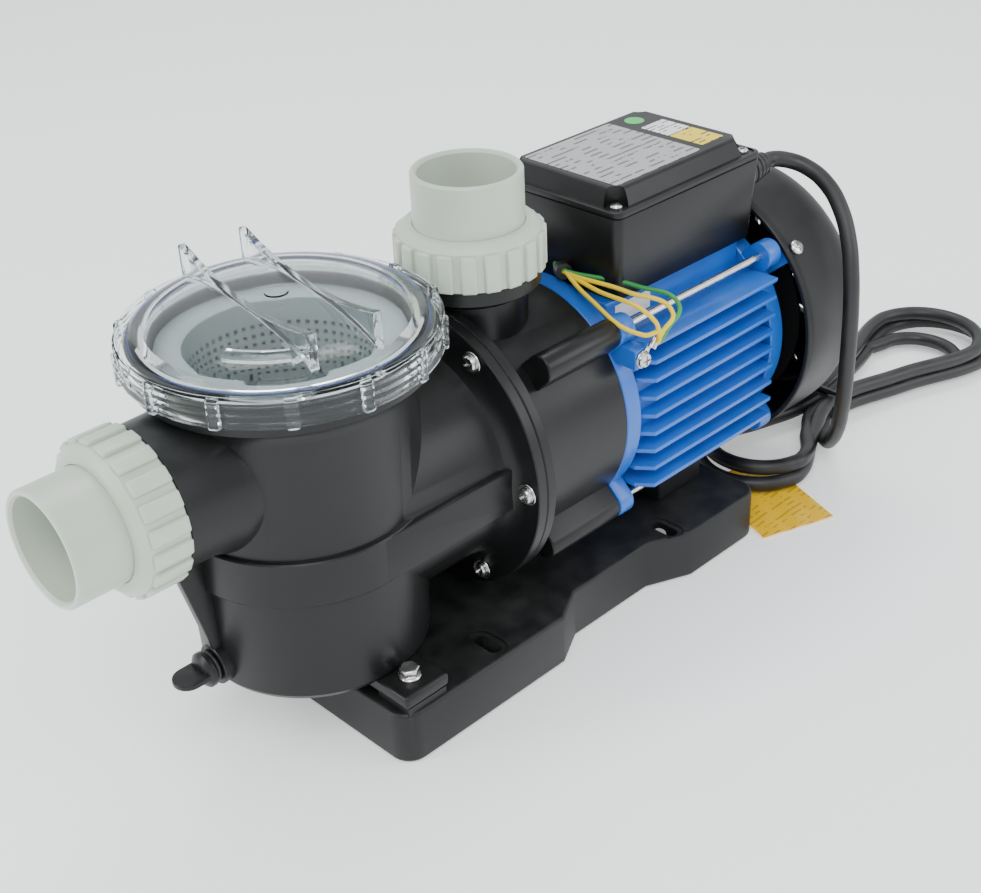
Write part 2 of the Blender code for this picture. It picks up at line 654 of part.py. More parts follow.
def casing_screws(steel):
    for index, (y, z) in enumerate(screw_places(), 1):
        screw = headed(SCREW_RADIUS, 0.0048, 0.0032, 2 * FLANGE_THICK - 0.001)
        turn = Matrix.Translation((FLANGE_X - FLANGE_THICK - GAP, y, SHAFT_HEIGHT + z))
        bmesh.ops.transform(screw, matrix=turn @ Matrix.Rotation(-pi / 2, 4, "Y"), verts=screw.verts)
        place(f"flange_screw_{index}", screw, steel)


def wet_end(black, steel, rubber, ceramic):
    place("casing_oring", ring_torus(0.0668, 0.0014, "X", on_shaft(FLANGE_X + GAP + 0.0016), 24, 5), rubber)
    front = FLANGE_X + 0.0008
    ring = 0.053
    profile = [(0.020, front), (CHAMBER_RADIUS - 0.0008, front), (CHAMBER_RADIUS - 0.0008, front + 0.003),
               (ring + 0.003, front + 0.003), (ring + 0.003, -0.024), (ring, -0.024), (ring, front + 0.003),
               (0.020, front + 0.003)]
    place("diffuser", turned(profile, "X", on_shaft(), 28), black)
    eye = SHAFT_RADIUS + GAP
    hub = turned([(eye, -0.034), (0.013, -0.034), (0.013, -0.018), (IMPELLER_RADIUS, -0.017),
                  (IMPELLER_RADIUS, -0.014), (eye, -0.014)], "X", on_shaft(), 30)
    impeller = place("impeller", hub, black)
    vanes = []
    for k in range(6):
        vane = block((0.011, -0.0012, -0.0330), (IMPELLER_RADIUS - 0.003, 0.0012, -0.0160))
        lean = Matrix.Rotation(2 * pi * k / 6, 4, "Z") @ Matrix.Translation((0, 0.004, 0))
        bmesh.ops.transform(vane, matrix=along("X", on_shaft()) @ lean, verts=vane.verts)
        vanes.append(vane)
    shape(impeller, place("impeller_vanes", merged(*vanes)), "UNION")
    shroud = tube(0.021, IMPELLER_RADIUS, -0.0345, -0.0318, "X", on_shaft(), 30)
    shape(impeller, place("impeller_shroud", shroud), "UNION")
    place("seal_rotary", tube(eye, 0.014, -0.0137, WALL_FRONT - 0.0008, "X", on_shaft(), 28), rubber)
    place("seal_seat", tube(SHAFT_RADIUS + 0.0008, SEAT_RADIUS - GAP, WALL_FRONT - 0.0003,
                            WALL_BACK, "X", on_shaft(), 28), ceramic)


# ---------------------------------------------------------------- motor
BEARING_OUTER = 0.0197
BEARING_WIDTH = 0.012
FRONT_BEARING = CASING_END + 0.0048
REAR_BEARING = REAR_END - 0.0050 - BEARING_WIDTH
FAN_START = REAR_END + 0.0195
SHAFT_FRONT = -0.034
EARTH_X = CASING_END + 0.0065
EARTH_Z = SHAFT_HEIGHT + 0.043
EARTH_FACE = -0.074
COVER_SCREW_X = COVER_START + 0.009
COVER_LUGS = (40, 140, 270)


def front_end_shield(blue):
    start, end = CASING_END + GAP, SHIELD_END
    shield = place("front_end_shield", rod(CASING_RADIUS, start, end, "X", on_shaft(), 30), blue)
    shape(shield, ears("front_ears", start + 0.0002, end - 0.0002), "UNION")
    hub = rod(0.025, end - 0.002, FRONT_BEARING + BEARING_WIDTH, "X", on_shaft(), 28)
    shape(shield, place("front_hub", hub), "UNION")
    pad = block((EARTH_X - 0.005, EARTH_FACE, EARTH_Z - 0.006), (EARTH_X + 0.005, -0.050, EARTH_Z + 0.006))
    shape(shield, place("earth_pad", pad), "UNION")
    pocket = rod(BEARING_OUTER + GAP, FRONT_BEARING - GAP, end + 0.02, "X", on_shaft(), 32, 0.05)
    shape(shield, place("front_pocket", pocket))
    shape(shield, place("front_bore", rod(SHAFT_RADIUS + 0.001, start - 0.01, end, "X", on_shaft(), 24)))
    shape(shield, rod_holes("front_rod_holes", start - 0.01, end + 0.01, ROD_RADIUS + GAP))
    hole = rod(0.0023, EARTH_FACE - 0.01, EARTH_FACE + 0.012, "Y", (EARTH_X, 0, EARTH_Z), 8)
    shape(shield, place("earth_hole", hole))


def fin_levels():
    return [FIN_PITCH * k for k in range(-4, 5)]


def motor_housing(blue):
    start, end = SHIELD_END + GAP, HOUSING_END
    housing = place("motor_housing", rod(HOUSING_RADIUS, start, end, "X", on_shaft(), 30), blue)
    root = 0.030
    fins = []
    for side in (-1, 1):
        for level in fin_levels():
            outline = [(start + 0.001, side * root), (end - 0.001, side * root),
                       (end - 0.001, side * FIN_REACH), (start + 0.008, side * FIN_REACH),
                       (start + 0.001, side * (FIN_REACH - 0.010))]
            z = SHAFT_HEIGHT + level
            fins.append(prism(outline, z - FIN_THICK / 2, z + FIN_THICK / 2))
    shape(housing, place("housing_fins", merged(*fins)), "UNION")
    saddle = block((start + 0.0005, -0.042, SHAFT_HEIGHT + 0.030), (end - 0.0005, 0.042, BOX_FLOOR - GAP))
    shape(housing, place("housing_pedestal", saddle), "UNION")
    bore = rod(HOUSING_RADIUS - HOUSING_WALL, start - 0.01, end + 0.01, "X", on_shaft(), 28)
    shape(housing, place("housing_bore", bore))


def rear_end_shield(blue):
    start, end = REAR_START, REAR_END
    shield = place("rear_end_shield", rod(CASING_RADIUS, start, end, "X", on_shaft(), 30), blue)
    shape(shield, ears("rear_ears", start + 0.0002, end - 0.0002), "UNION")
    flat = block((start - 0.01, -0.05, BOX_FLOOR - 2 * GAP), (end + 0.01, 0.05, BOX_FLOOR + 0.02))
    shape(shield, place("rear_flat", flat))
    shape(shield, place("rear_hub", rod(0.025, REAR_BEARING, start + 0.002, "X", on_shaft(), 28)), "UNION")
    lugs = []
    top = COVER_RADIUS - COVER_WALL - 0.0010
    lug_end = COVER_SCREW_X + 0.0045
    for angle in COVER_LUGS:
        outline = [(end - 0.002, 0.050), (lug_end, 0.050), (lug_end, top), (COVER_SCREW_X - 0.0045, top),
                   (COVER_SCREW_X - 0.0045, 0.063), (end - 0.002, 0.063)]
        lug = prism(outline, -0.0055, 0.0055, SIDE_FRAME)
        spin = Matrix.Translation(on_shaft()) @ Matrix.Rotation(radians(angle - 90), 4, "X")
        bmesh.ops.transform(lug, matrix=spin, verts=lug.verts)
        lugs.append(lug)
    shape(shield, place("rear_lugs", merged(*lugs)), "UNION")
    pocket = rod(BEARING_OUTER + GAP, REAR_BEARING - 0.02, REAR_BEARING + BEARING_WIDTH + GAP, "X",
                 on_shaft(), 32, 0.05)
    shape(shield, place("rear_pocket", pocket))
    shape(shield, place("rear_bore", rod(SHAFT_RADIUS + 0.001, start, end + 0.01, "X", on_shaft(), 24)))
    shape(shield, rod_holes("rear_rod_holes", start - 0.01, end + 0.01, ROD_RADIUS + GAP))
    shape(shield, place("lug_holes", cover_screw_rods(0.0023, COVER_RADIUS - 0.018, COVER_RADIUS + 0.01)))


def cover_screw_rods(radius, low, high):
    """Radial rods at the fan cover's screw places."""
    rods = []
    for angle in COVER_LUGS:
        pin = rod(radius, low, high, "Z", (0, 0, 0), 8)
        turn = Matrix.Rotation(radians(angle - 90), 4, "X")
        bmesh.ops.transform(pin, matrix=Matrix.Translation(on_shaft(COVER_SCREW_X)) @ turn, verts=pin.verts)
        rods.append(pin)
    return merged(*rods)


def rotor(steel, iron, plastic):
    neck = SHAFT_RADIUS
    shoulder = 0.012
    low, high = FRONT_BEARING + BEARING_WIDTH + GAP, REAR_BEARING - GAP
    tail = FAN_START + 0.014
    profile = [(0, SHAFT_FRONT), (neck, SHAFT_FRONT), (neck, low), (shoulder, low), (shoulder, high),
               (neck, high), (neck, tail), (0, tail)]
    place("motor_shaft", turned(profile, "X", on_shaft(), 24), steel)
    place("rotor_core", tube(shoulder + GAP, 0.0355, 0.072, 0.146, "X", on_shaft(), 30), iron)
    for name, x in (("front_bearing", FRONT_BEARING), ("rear_bearing", REAR_BEARING)):
        place(name, tube(neck + 0.0002, BEARING_OUTER, x, x + BEARING_WIDTH, "X", on_shaft(), 28), steel)
    hub = turned([(neck + GAP, FAN_START), (0.068, FAN_START), (0.068, FAN_START + 0.002),
                  (0.016, FAN_START + 0.002), (0.014, FAN_START + 0.018), (neck + GAP, FAN_START + 0.018)],
                 "X", on_shaft(), 30)
    fan = place("cooling_fan", hub, plastic)
    blades = []
    for k in range(6):
        blade = block((0.012, -0.0011, FAN_START + 0.001), (0.066, 0.0011, FAN_START + 0.016))
        spin = along("X", on_shaft()) @ Matrix.Rotation(2 * pi * k / 6, 4, "Z")
        bmesh.ops.transform(blade, matrix=spin, verts=blade.verts)
        blades.append(blade)
    shape(fan, place("fan_blades", merged(*blades)), "UNION")


def stator(copper):
    inner, outer = 0.036, HOUSING_RADIUS - HOUSING_WALL - GAP
    winding = outer - 0.006
    profile = [(inner, 0.060), (winding, 0.060), (winding, 0.072), (outer, 0.072), (outer, 0.146),
               (winding, 0.146), (winding, 0.158), (inner, 0.158)]
    place("stator", turned(profile, "X", on_shaft(), 28), copper)


def tie_rods(steel):
    low, high = CASING_END - 0.011, REAR_END + GAP
    for index, (y, z) in enumerate(ROD_PLACES, 1):
        profile = [(0, low), (ROD_RADIUS, low), (ROD_RADIUS, high), (0.0045, high), (0.0045, high + 0.0035),
                   (0, high + 0.0035)]
        place(f"tie_rod_{index}", turned(profile, "X", (0, y, SHAFT_HEIGHT + z), 12), steel)


def fan_cover(black, steel):
    r, wall, end = COVER_RADIUS, COVER_WALL, COVER_END
    outer = [(r, COVER_START), (r, end - 0.031), (r - 0.0025, end - 0.018), (r - 0.008, end - 0.009),
             (r - 0.018, end - 0.003), (0.030, end), (0, end)]
    inner = [(0, end - wall), (0.029, end - wall), (r - 0.0195, end - 0.006), (r - 0.0107, end - 0.0113),
             (r - 0.0055, end - 0.0193), (r - wall, end - 0.031), (r - wall, COVER_START)]
    cover = place("fan_cover", turned(outer + inner, "X", on_shaft(), 30), black)
    slots = []
    slot_count = 10
    for k in range(slot_count):
        slot = block((0.024, -0.002, end - 0.02), (0.062, 0.002, end + 0.01))
        spin = along("X", on_shaft()) @ Matrix.Rotation(2 * pi * k / slot_count, 4, "Z")
        bmesh.ops.transform(slot, matrix=spin, verts=slot.verts)
        slots.append(slot)
    shape(cover, place("cover_slots", merged(*slots)))
    shape(cover, place("cover_holes", cover_screw_rods(0.0023, r - 0.01, r + 0.01)))
    for index, angle in enumerate(COVER_LUGS, 1):
        screw = headed(0.0020, 0.0046, 0.0026, 0.012)
        turn = Matrix.Translation(on_shaft(COVER_SCREW_X)) @ Matrix.Rotation(radians(angle - 90), 4, "X")
        bmesh.ops.transform(screw, matrix=turn @ Matrix.Translation((0, 0, r + GAP)), verts=screw.verts)
        place(f"cover_screw_{index}", screw, steel)


# ---------------------------------------------------------------- terminal box
GLAND_Y = -0.030
GLAND_HEIGHT = BOX_SEAM - 0.016
GLAND_END = BOX_END + 0.026
LID_SCREW_INSET = 0.0085


def box_outline(inset, radius=0.006):
    half = BOX_WIDTH / 2
    return rounded(BOX_START + inset, -half + inset, BOX_END - inset, half - inset,
                   max(radius - inset * 0.3, 0.002))


def box_corners():
    half = BOX_WIDTH / 2 - LID_SCREW_INSET
    return [(x, y) for x in (BOX_START + LID_SCREW_INSET, BOX_END - LID_SCREW_INSET) for y in (-half, half)]


def terminal_box(black, steel, grey):
    box = place("terminal_box", loft([(box_outline(0.003), BOX_FLOOR), (box_outline(0), BOX_SEAM)]), black)
    inside = loft([(box_outline(0.003 + BOX_WALL), BOX_FLOOR + BOX_WALL),
                   (box_outline(BOX_WALL), BOX_SEAM + 0.002)])
    shape(box, place("box_inside", inside))
    posts = [rod(0.0052, BOX_FLOOR + 0.001, BOX_SEAM - 0.002, "Z", (x, y, 0), 8) for x, y in box_corners()]
    shape(box, place("box_posts", merged(*posts)), "UNION")
    holes = [rod(0.0018, BOX_SEAM - 0.018, BOX_SEAM + 0.01, "Z", (x, y, 0), 10) for x, y in box_corners()]
    shape(box, place("box_screw_holes", merged(*holes)))
    gland_hole = rod(0.0083, BOX_END - 0.012, BOX_END + 0.01, "X", (0, GLAND_Y, GLAND_HEIGHT), 20)
    shape(box, place("gland_hole", gland_hole))
    low = BOX_SEAM + GAP
    lid = place("terminal_lid", loft([(box_outline(0), low), (box_outline(0.0004), low + 0.003),
                                      (box_outline(0.004), low + 0.0035),
                                      (box_outline(0.010), BOX_LID_TOP)]), black)
    wells = [rod(0.0072, low + 0.0025, BOX_LID_TOP + 0.01, "Z", (x, y, 0), 14) for x, y in box_corners()]
    shape(lid, place("lid_wells", merged(*wells)))
    hollow = loft([(box_outline(0.017), low - 0.01), (box_outline(0.018), BOX_LID_TOP - BOX_WALL)])
    shape(lid, place("lid_inside", hollow))
    holes = [rod(0.0018, low - 0.01, low + 0.01, "Z", (x, y, 0), 10) for x, y in box_corners()]
    shape(lid, place("lid_screw_holes", merged(*holes)))
    for index, (x, y) in enumerate(box_corners(), 1):
        screw = headed(0.0015, 0.0036, 0.0024, 0.016)
        bmesh.ops.translate(screw, vec=(x, y, low + 0.0025 + GAP), verts=screw.verts)
        place(f"lid_screw_{index}", screw, steel)
    can = rod(0.0185, BOX_START + 0.024, BOX_START + 0.104, "X", (0, 0.012, BOX_FLOOR + 0.0235), 28)
    place("run_capacitor", can, grey)


def cable_gland(rubber):
    profile = [(0, BOX_END - 0.006), (0.0080, BOX_END - 0.006), (0.0080, BOX_END + GAP),
               (0.0105, BOX_END + GAP), (0.0105, BOX_END + 0.007), (0.0075, BOX_END + 0.009),
               (0.0062, GLAND_END), (0, GLAND_END)]
    place("cable_gland", turned(profile, "X", (0, GLAND_Y, GLAND_HEIGHT), 20), rubber)


def earth_bond(steel, yellow):
    screw = headed(0.0020, 0.0045, 0.0028, 0.009)
    turn = Matrix.Translation((EARTH_X, EARTH_FACE - GAP, EARTH_Z)) @ Matrix.Rotation(pi / 2, 4, "X")
    bmesh.ops.transform(screw, matrix=turn, verts=screw.verts)
    place("earth_screw", screw, steel)
    front = BOX_START + 0.0020
    crest = SHAFT_HEIGHT + CASING_RADIUS
    route = [(front, -0.004, crest + 0.0035), (0.0520, -0.004, crest + 0.0040),
             (0.0455, -0.018, crest + 0.0030), (0.0450, -0.034, crest), (0.0450, -0.050, crest - 0.002),
             (0.0455, -0.0640, crest - 0.006), (0.0470, -0.0748, crest - 0.014),
             (0.0480, -0.0800, crest - 0.0215), (0.0470, -0.0792, EARTH_Z - 0.001)]
    cord_tube("earth_wire", route, 0.0014, yellow, 2, 0.005)


# ---------------------------------------------------------------- mains lead
HANK_LEFT = (0.212, -0.034, 0.042)       # x, y and radius of the near loop
HANK_RIGHT = (0.430, -0.038, 0.046)      # and of the far one
HANK_WAIST = (0.290, -0.030, 0.016)
HANK_LOW = 0.0016
PLUG_X = 0.345
PLUG_Y = 0.032
PLUG_RADIUS = 0.0185
LEAD_ROUTE = [(GLAND_END + GAP, GLAND_Y, GLAND_HEIGHT), (GLAND_END + 0.0085, GLAND_Y, GLAND_HEIGHT),
              (0.2265, -0.0365, 0.2125), (0.2320, -0.0480, 0.2085), (0.2325, -0.0615, 0.2015),
              (0.2285, -0.0750, 0.1905), (0.2230, -0.0860, 0.1750), (0.2180, -0.0930, 0.1570),
              (0.2155, -0.0965, 0.1370), (0.2150, -0.0975, 0.1170), (0.2160, -0.0970, 0.0970),
              (0.2190, -0.0950, 0.0770), (0.2240, -0.0910, 0.0580), (0.2310, -0.0860, 0.0400),
              (0.2395, -0.0805, 0.0250), (0.2500, -0.0740, 0.0135), (0.2620, -0.0682, 0.0085),
              (0.2735, -0.0600, 0.0072)]
TAIL_ROUTE = [(0.3899, 0.0016, 0.0070), (0.3887, 0.0095, 0.0070), (0.3840, 0.0180, 0.0090),
              (0.3750, 0.0260, 0.0130), (0.3640, 0.0310, 0.0170), (PLUG_X + 0.0085, PLUG_Y, 0.0188),
              (PLUG_X + GAP, PLUG_Y, 0.0188)]


def hank_outline():
    """Round-ended outline of the two loops with a waist between them."""
    (lx, ly, lr), (rx, ry, rr), (wx, wy, wr) = HANK_LEFT, HANK_RIGHT, HANK_WAIST
    left = arc(lx, ly, lr, pi * 0.55, pi * 1.45, 10)
    right = arc(rx, ry, rr, -pi * 0.62, pi * 0.62, 14)
    return left + [(wx, wy - wr)] + right + [(wx, wy + wr)]


def mains_lead(rubber, black, steel, yellow):
    cord_tube("power_cord", LEAD_ROUTE, CORD_DIAMETER / 2, rubber)
    place("cord_hank", prism(hank_outline(), HANK_LOW, HANK_LOW + HANK_HEIGHT), rubber)
    cord_tube("cord_tail", TAIL_ROUTE, CORD_DIAMETER / 2, rubber)
    body = turned([(0, PLUG_X), (0.0062, PLUG_X), (0.0085, PLUG_X - 0.014), (PLUG_RADIUS - 0.002, PLUG_X - 0.017),
                   (PLUG_RADIUS, PLUG_X - 0.022), (PLUG_RADIUS, PLUG_X - 0.042), (0, PLUG_X - 0.042)],
                  "X", (0, PLUG_Y, PLUG_RADIUS + GAP), 28)
    plug = place("power_plug", body, black)
    pins = [rod(0.0024, PLUG_X - 0.061, PLUG_X - 0.040, "X", (0, PLUG_Y + y, PLUG_RADIUS + GAP), 8)
            for y in (-0.0095, 0.0095)]
    shape(plug, place("plug_pins", merged(*pins)), "UNION")
    outline = [(0.1721, -0.0202), (0.1440, -0.0930), (0.1925, -0.1117), (0.2206, -0.0389)]
    place("caution_tag", prism(outline, 0.0002, 0.0012), yellow)


def build():
    clear_scene()
    black = finish("black_plastic", (0.022, 0.023, 0.024), 0.45)
    base_black = finish("base_plastic", (0.025, 0.027, 0.028), 0.5)
    cowl = finish("cowl_plastic", (0.02, 0.02, 0.022), 0.4)
    clear = finish("clear_lid", (0.75, 0.8, 0.82), 0.08, 0.0, 0.4)
    union_grey = finish("union_grey", (0.62, 0.66, 0.58), 0.45)
    basket_grey = finish("basket_grey", (0.55, 0.58, 0.58), 0.5)
    blue = finish("motor_blue", (0.02, 0.16, 0.62), 0.4)
    steel = finish("zinc_steel", (0.7, 0.7, 0.68), 0.3, 1.0)
    iron = finish("lamination_iron", (0.3, 0.3, 0.3), 0.5, 0.8)
    copper = finish("wound_stator", (0.55, 0.27, 0.12), 0.5, 0.5)
    rubber = finish("cord_rubber", (0.02, 0.02, 0.02), 0.6)
    seal = finish("seal_rubber", (0.03, 0.03, 0.03), 0.7)
    ceramic = finish("seal_ceramic", (0.8, 0.78, 0.72), 0.3)
    yellow = finish("tag_yellow", (0.9, 0.65, 0.03), 0.5)
    wire = finish("earth_wire_yellow", (0.75, 0.65, 0.05), 0.5)

    base_plate(base_black)
    base_bolts(steel)
    motor_saddle(base_black)
    strainer_pot(black)
    strainer_basket(basket_grey)
    strainer_lid(clear, seal)
    drain_plug(black, seal)
    union_set("suction", "X", (0, 0, SUCTION_HEIGHT), SUCTION_NUT, SUCTION_FACE, SUCTION_END, -1,
              union_grey, seal)
    union_set("discharge", "Z", (DISCHARGE_X, 0, 0), DISCHARGE_NUT, DISCHARGE_FACE, DISCHARGE_TOP, 1,
              union_grey, seal)
    pump_casing(black)
    casing_screws(steel)
    wet_end(black, steel, seal, ceramic)
    front_end_shield(blue)
    motor_housing(blue)
    rear_end_shield(blue)
    rotor(steel, iron, cowl)
    stator(copper)
    tie_rods(steel)
    fan_cover(cowl, steel)
    terminal_box(black, steel, basket_grey)
    cable_gland(rubber)
    earth_bond(steel, wire)
    mains_lead(rubber, black, steel, yellow)
    spinning = ("motor_shaft", "rotor_core", "cooling_fan", "impeller", "seal_rotary")
    carried("rotor_axis", on_shaft(), *[bpy.data.objects[name] for name in spinning])


build()
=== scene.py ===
"""Looks of a pool pump: clear-lidded strainer pot, wet end, finned blue motor, base and mains lead."""

from math import atan2, cos, pi, radians, sin

import bpy
from mathutils import Matrix, Vector


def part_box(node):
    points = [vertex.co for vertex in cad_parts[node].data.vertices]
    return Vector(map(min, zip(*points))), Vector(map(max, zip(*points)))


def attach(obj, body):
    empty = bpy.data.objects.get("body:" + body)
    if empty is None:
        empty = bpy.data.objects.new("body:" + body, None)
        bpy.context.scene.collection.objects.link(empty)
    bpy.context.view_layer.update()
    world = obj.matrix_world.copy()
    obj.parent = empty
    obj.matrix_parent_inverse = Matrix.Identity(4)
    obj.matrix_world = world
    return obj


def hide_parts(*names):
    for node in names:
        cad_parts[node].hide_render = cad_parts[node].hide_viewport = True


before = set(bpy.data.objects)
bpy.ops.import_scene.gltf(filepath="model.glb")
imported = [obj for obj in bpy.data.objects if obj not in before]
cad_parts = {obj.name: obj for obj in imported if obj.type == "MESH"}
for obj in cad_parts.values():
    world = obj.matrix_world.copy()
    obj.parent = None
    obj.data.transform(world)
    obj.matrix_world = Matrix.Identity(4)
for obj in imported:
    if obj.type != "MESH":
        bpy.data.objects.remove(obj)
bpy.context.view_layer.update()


# ---------- places taken from the frame
def middle(node):
    low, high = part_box(node)
    return [(a + b) / 2 for a, b in zip(low, high)]


SHAFT_Z = middle("motor_shaft")[2]
POT_X = middle("strainer_basket")[0]
SUCTION_Z = middle("suction_tail")[2]
DISCHARGE_X = middle("discharge_tail")[0]
POT_AXIS = (POT_X, 0, 0)
SHAFT_AXIS = (0, 0, SHAFT_Z)
SPOUT_AXIS = (DISCHARGE_X, 0, 0)
ROD_PLACES = [(y, z) for y in (-0.057, 0.057) for z in (SHAFT_Z - 0.0555, SHAFT_Z + 0.0555)]
CORD_RADIUS = 0.005
TURN = 2 * pi


# ---------- modelling by hand
def mode(kind):
    bpy.ops.object.mode_set(mode=kind)


def shifted(x, y, z):
    return Matrix.Translation((x, y, z))


def turned(angle, axis):
    return Matrix.Rotation(angle, 4, axis)


def nothing_selected():
    if bpy.context.object and bpy.context.object.mode != "OBJECT":
        mode("OBJECT")
    bpy.ops.object.select_all(action="DESELECT")


def in_scene(name, data):
    piece = bpy.data.objects.new(name, data)
    bpy.context.scene.collection.objects.link(piece)
    return piece


def only(piece):
    nothing_selected()
    piece.select_set(True)
    bpy.context.view_layer.objects.active = piece


def loop_of(name, points, filled=False, open_ended=False):
    """Ring of edges through the points, started from a circle."""
    nothing_selected()
    fill = "NGON" if filled else "NOTHING"
    bpy.ops.mesh.primitive_circle_add(vertices=len(points), radius=0.01, fill_type=fill)
    piece = bpy.context.object
    piece.name = name
    for corner, place in zip(piece.data.vertices, points):
        corner.co = place
    if open_ended:
        last = {0, len(points) - 1}
        for edge in piece.data.edges:
            edge.select = set(edge.vertices) == last
        for corner in piece.data.vertices:
            corner.select = False
        mode("EDIT")
        bpy.ops.mesh.select_mode(type="EDGE")
        mode("OBJECT")
        for edge in piece.data.edges:
            edge.select = set(edge.vertices) == last
        mode("EDIT")
        bpy.ops.mesh.delete(type="EDGE_FACE")
        bpy.ops.mesh.select_mode(type="VERT")
        mode("OBJECT")
    return piece


def frame_along(axis, centre=(0, 0, 0)):
    """Local X, Y and Z laid so that Z runs along the axis."""
    turns = {"X": Matrix(((0, 0, 1), (0, 1, 0), (-1, 0, 0))), "Z": Matrix.Identity(3),
             "Y": Matrix(((1, 0, 0), (0, 0, 1), (0, -1, 0)))}
    return Matrix.Translation(centre) @ turns[axis].to_4x4()


def tidy_mesh(piece, gap=1e-6):
    only(piece)
    mode("EDIT")
    bpy.ops.mesh.select_all(action="SELECT")
    bpy.ops.mesh.remove_doubles(threshold=gap)
    bpy.ops.mesh.delete_loose()
    bpy.ops.mesh.select_all(action="SELECT")
    bpy.ops.mesh.normals_make_consistent(inside=False)
    mode("OBJECT")


def lathe(name, profile, axis="Z", centre=(0, 0, 0), steps=96, open_ended=False):
    """Profile of (radius, height) pairs spun round the axis."""
    lay = frame_along(axis, centre)
    piece = loop_of(name, [lay @ Vector((r, 0, h)) for r, h in profile], open_ended=open_ended)
    mode("EDIT")
    bpy.ops.mesh.select_all(action="SELECT")
    bpy.ops.mesh.spin(steps=steps, angle=TURN, center=lay.translation, axis=lay.to_3x3().col[2])
    tidy_mesh(piece)
    return piece


def plate(name, outline, low, high, lay=Matrix.Identity(4)):
    """Flat outline drawn out from one height to another."""
    piece = loop_of(name, [lay @ Vector((x, y, low)) for x, y in outline], filled=True)
    mode("EDIT")
    bpy.ops.mesh.select_all(action="SELECT")
    rise = lay.to_3x3() @ Vector((0, 0, high - low))
    bpy.ops.mesh.extrude_region_move(TRANSFORM_OT_translate={"value": rise})
    tidy_mesh(piece)
    return piece


def brick(name, low, high, lay=Matrix.Identity(4)):
    outline = [(low[0], low[1]), (high[0], low[1]), (high[0], high[1]), (low[0], high[1])]
    return plate(name, outline, low[2], high[2], lay)


def pinched(piece, above, centre, share, below=False):
    """Draw in the corners above (or below) a height toward a centre, by a share in X and in Y."""
    for corner in piece.data.vertices:
        if (corner.co.z < above) == below:
            corner.co.x = centre[0] + (corner.co.x - centre[0]) * share[0]
            corner.co.y = centre[1] + (corner.co.y - centre[1]) * share[1]
    return piece


def applied(piece, kind, **settings):
    only(piece)
    modifier = piece.modifiers.new(kind.lower(), kind)
    for setting, value in settings.items():
        setattr(modifier, setting, value)
    bpy.ops.object.modifier_apply(modifier=modifier.name)
    return piece


def bevelled(piece, width, segments=2, angle=35):
    return applied(piece, "BEVEL", width=width, segments=segments, limit_method="ANGLE",
                   angle_limit=radians(angle), use_clamp_overlap=True, miter_outer="MITER_ARC")


def cut(piece, *tools, operation="DIFFERENCE"):
    for tool in tools:
        applied(piece, "BOOLEAN", operation=operation, solver="EXACT", object=tool)
        bpy.data.objects.remove(tool)
    return piece


def added(piece, *tools):
    return cut(piece, *tools, operation="UNION")


def joined(name, pieces):
    nothing_selected()
    for piece in pieces:
        piece.select_set(True)
    bpy.context.view_layer.objects.active = pieces[0]
    if len(pieces) > 1:
        bpy.ops.object.join()
    pieces[0].name = name
    return pieces[0]


def copies(name, model, places):
    """One piece made of copies of a model, a matrix for each."""
    made = []
    for place in places:
        twin = model.copy()
        twin.data = model.data.copy()
        twin.data.transform(place)
        bpy.context.scene.collection.objects.link(twin)
        made.append(twin)
    bpy.data.objects.remove(model)
    return joined(name, made)


def moved(piece, matrix):
    piece.data.transform(matrix)
    return piece


def settle(piece, material, replaces=(), body="pump", smooth=35):
    """Paint, mount and, unless it is a wire, shade a finished piece."""
    only(piece)
    if smooth:
        bpy.ops.object.shade_smooth_by_angle(angle=radians(smooth))
    piece.data.materials.clear()
    piece.data.materials.append(material)
    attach(piece, body)
    if replaces:
        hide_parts(*replaces)
    return piece


def smooth_curve(name, points, radius, fine, along=12):
    """Round wire on one smooth curve through the points."""
    path = bpy.data.curves.new(name, "CURVE")
    path.dimensions = "3D"
    path.bevel_depth = radius
    path.bevel_resolution = fine
    path.resolution_u = along
    path.use_fill_caps = True
    line = path.splines.new("BEZIER")
    line.bezier_points.add(len(points) - 1)
    for knot, place in zip(line.bezier_points, points):
        knot.co = place
        knot.handle_left_type = knot.handle_right_type = "AUTO"
    return in_scene(name, path)


def drum(name, radius, low, high, axis, centre, steps=96):
    """Plain cylinder between two heights."""
    return lathe(name, [(0, low), (radius, low), (radius, high), (0, high)], axis, centre, steps)


def seal_ring(name, radius, height, thick, corners, axis, centre, steps):
    """Round-section ring about an axis."""
    turns = [TURN * k / corners for k in range(corners)]
    section = [(radius + thick * cos(a), height + thick * sin(a)) for a in turns]
    return lathe(name, section, axis, centre, steps)


def repaint(material, *nodes):
    """Better material on CAD nodes that stay."""
    for node in nodes:
        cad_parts[node].data.materials[0] = material


def arc(x, y, radius, start, end, steps):
    turns = [start + (end - start) * k / steps for k in range(steps + 1)]
    return [(x + radius * cos(t), y + radius * sin(t)) for t in turns]


def dome_line(radius, base, rise, steps):
    """Points of a quarter ellipse between its foot and its crown."""
    return [(radius * cos(a), base + rise * sin(a)) for a in [pi / 2 * k / steps for k in range(1, steps)]]


def rounded(x0, y0, x1, y1, r, steps=6):
    return (arc(x1 - r, y1 - r, r, 0, pi / 2, steps) + arc(x0 + r, y1 - r, r, pi / 2, pi, steps)
            + arc(x0 + r, y0 + r, r, pi, 1.5 * pi, steps) + arc(x1 - r, y0 + r, r, 1.5 * pi, TURN, steps))


def around(axis, centre, count, start=0.0):
    """Matrices that set copies evenly round an axis, from a model drawn at its centre."""
    lay = frame_along(axis, centre)
    return [lay @ turned(start + TURN * k / count, "Z") for k in range(count)]


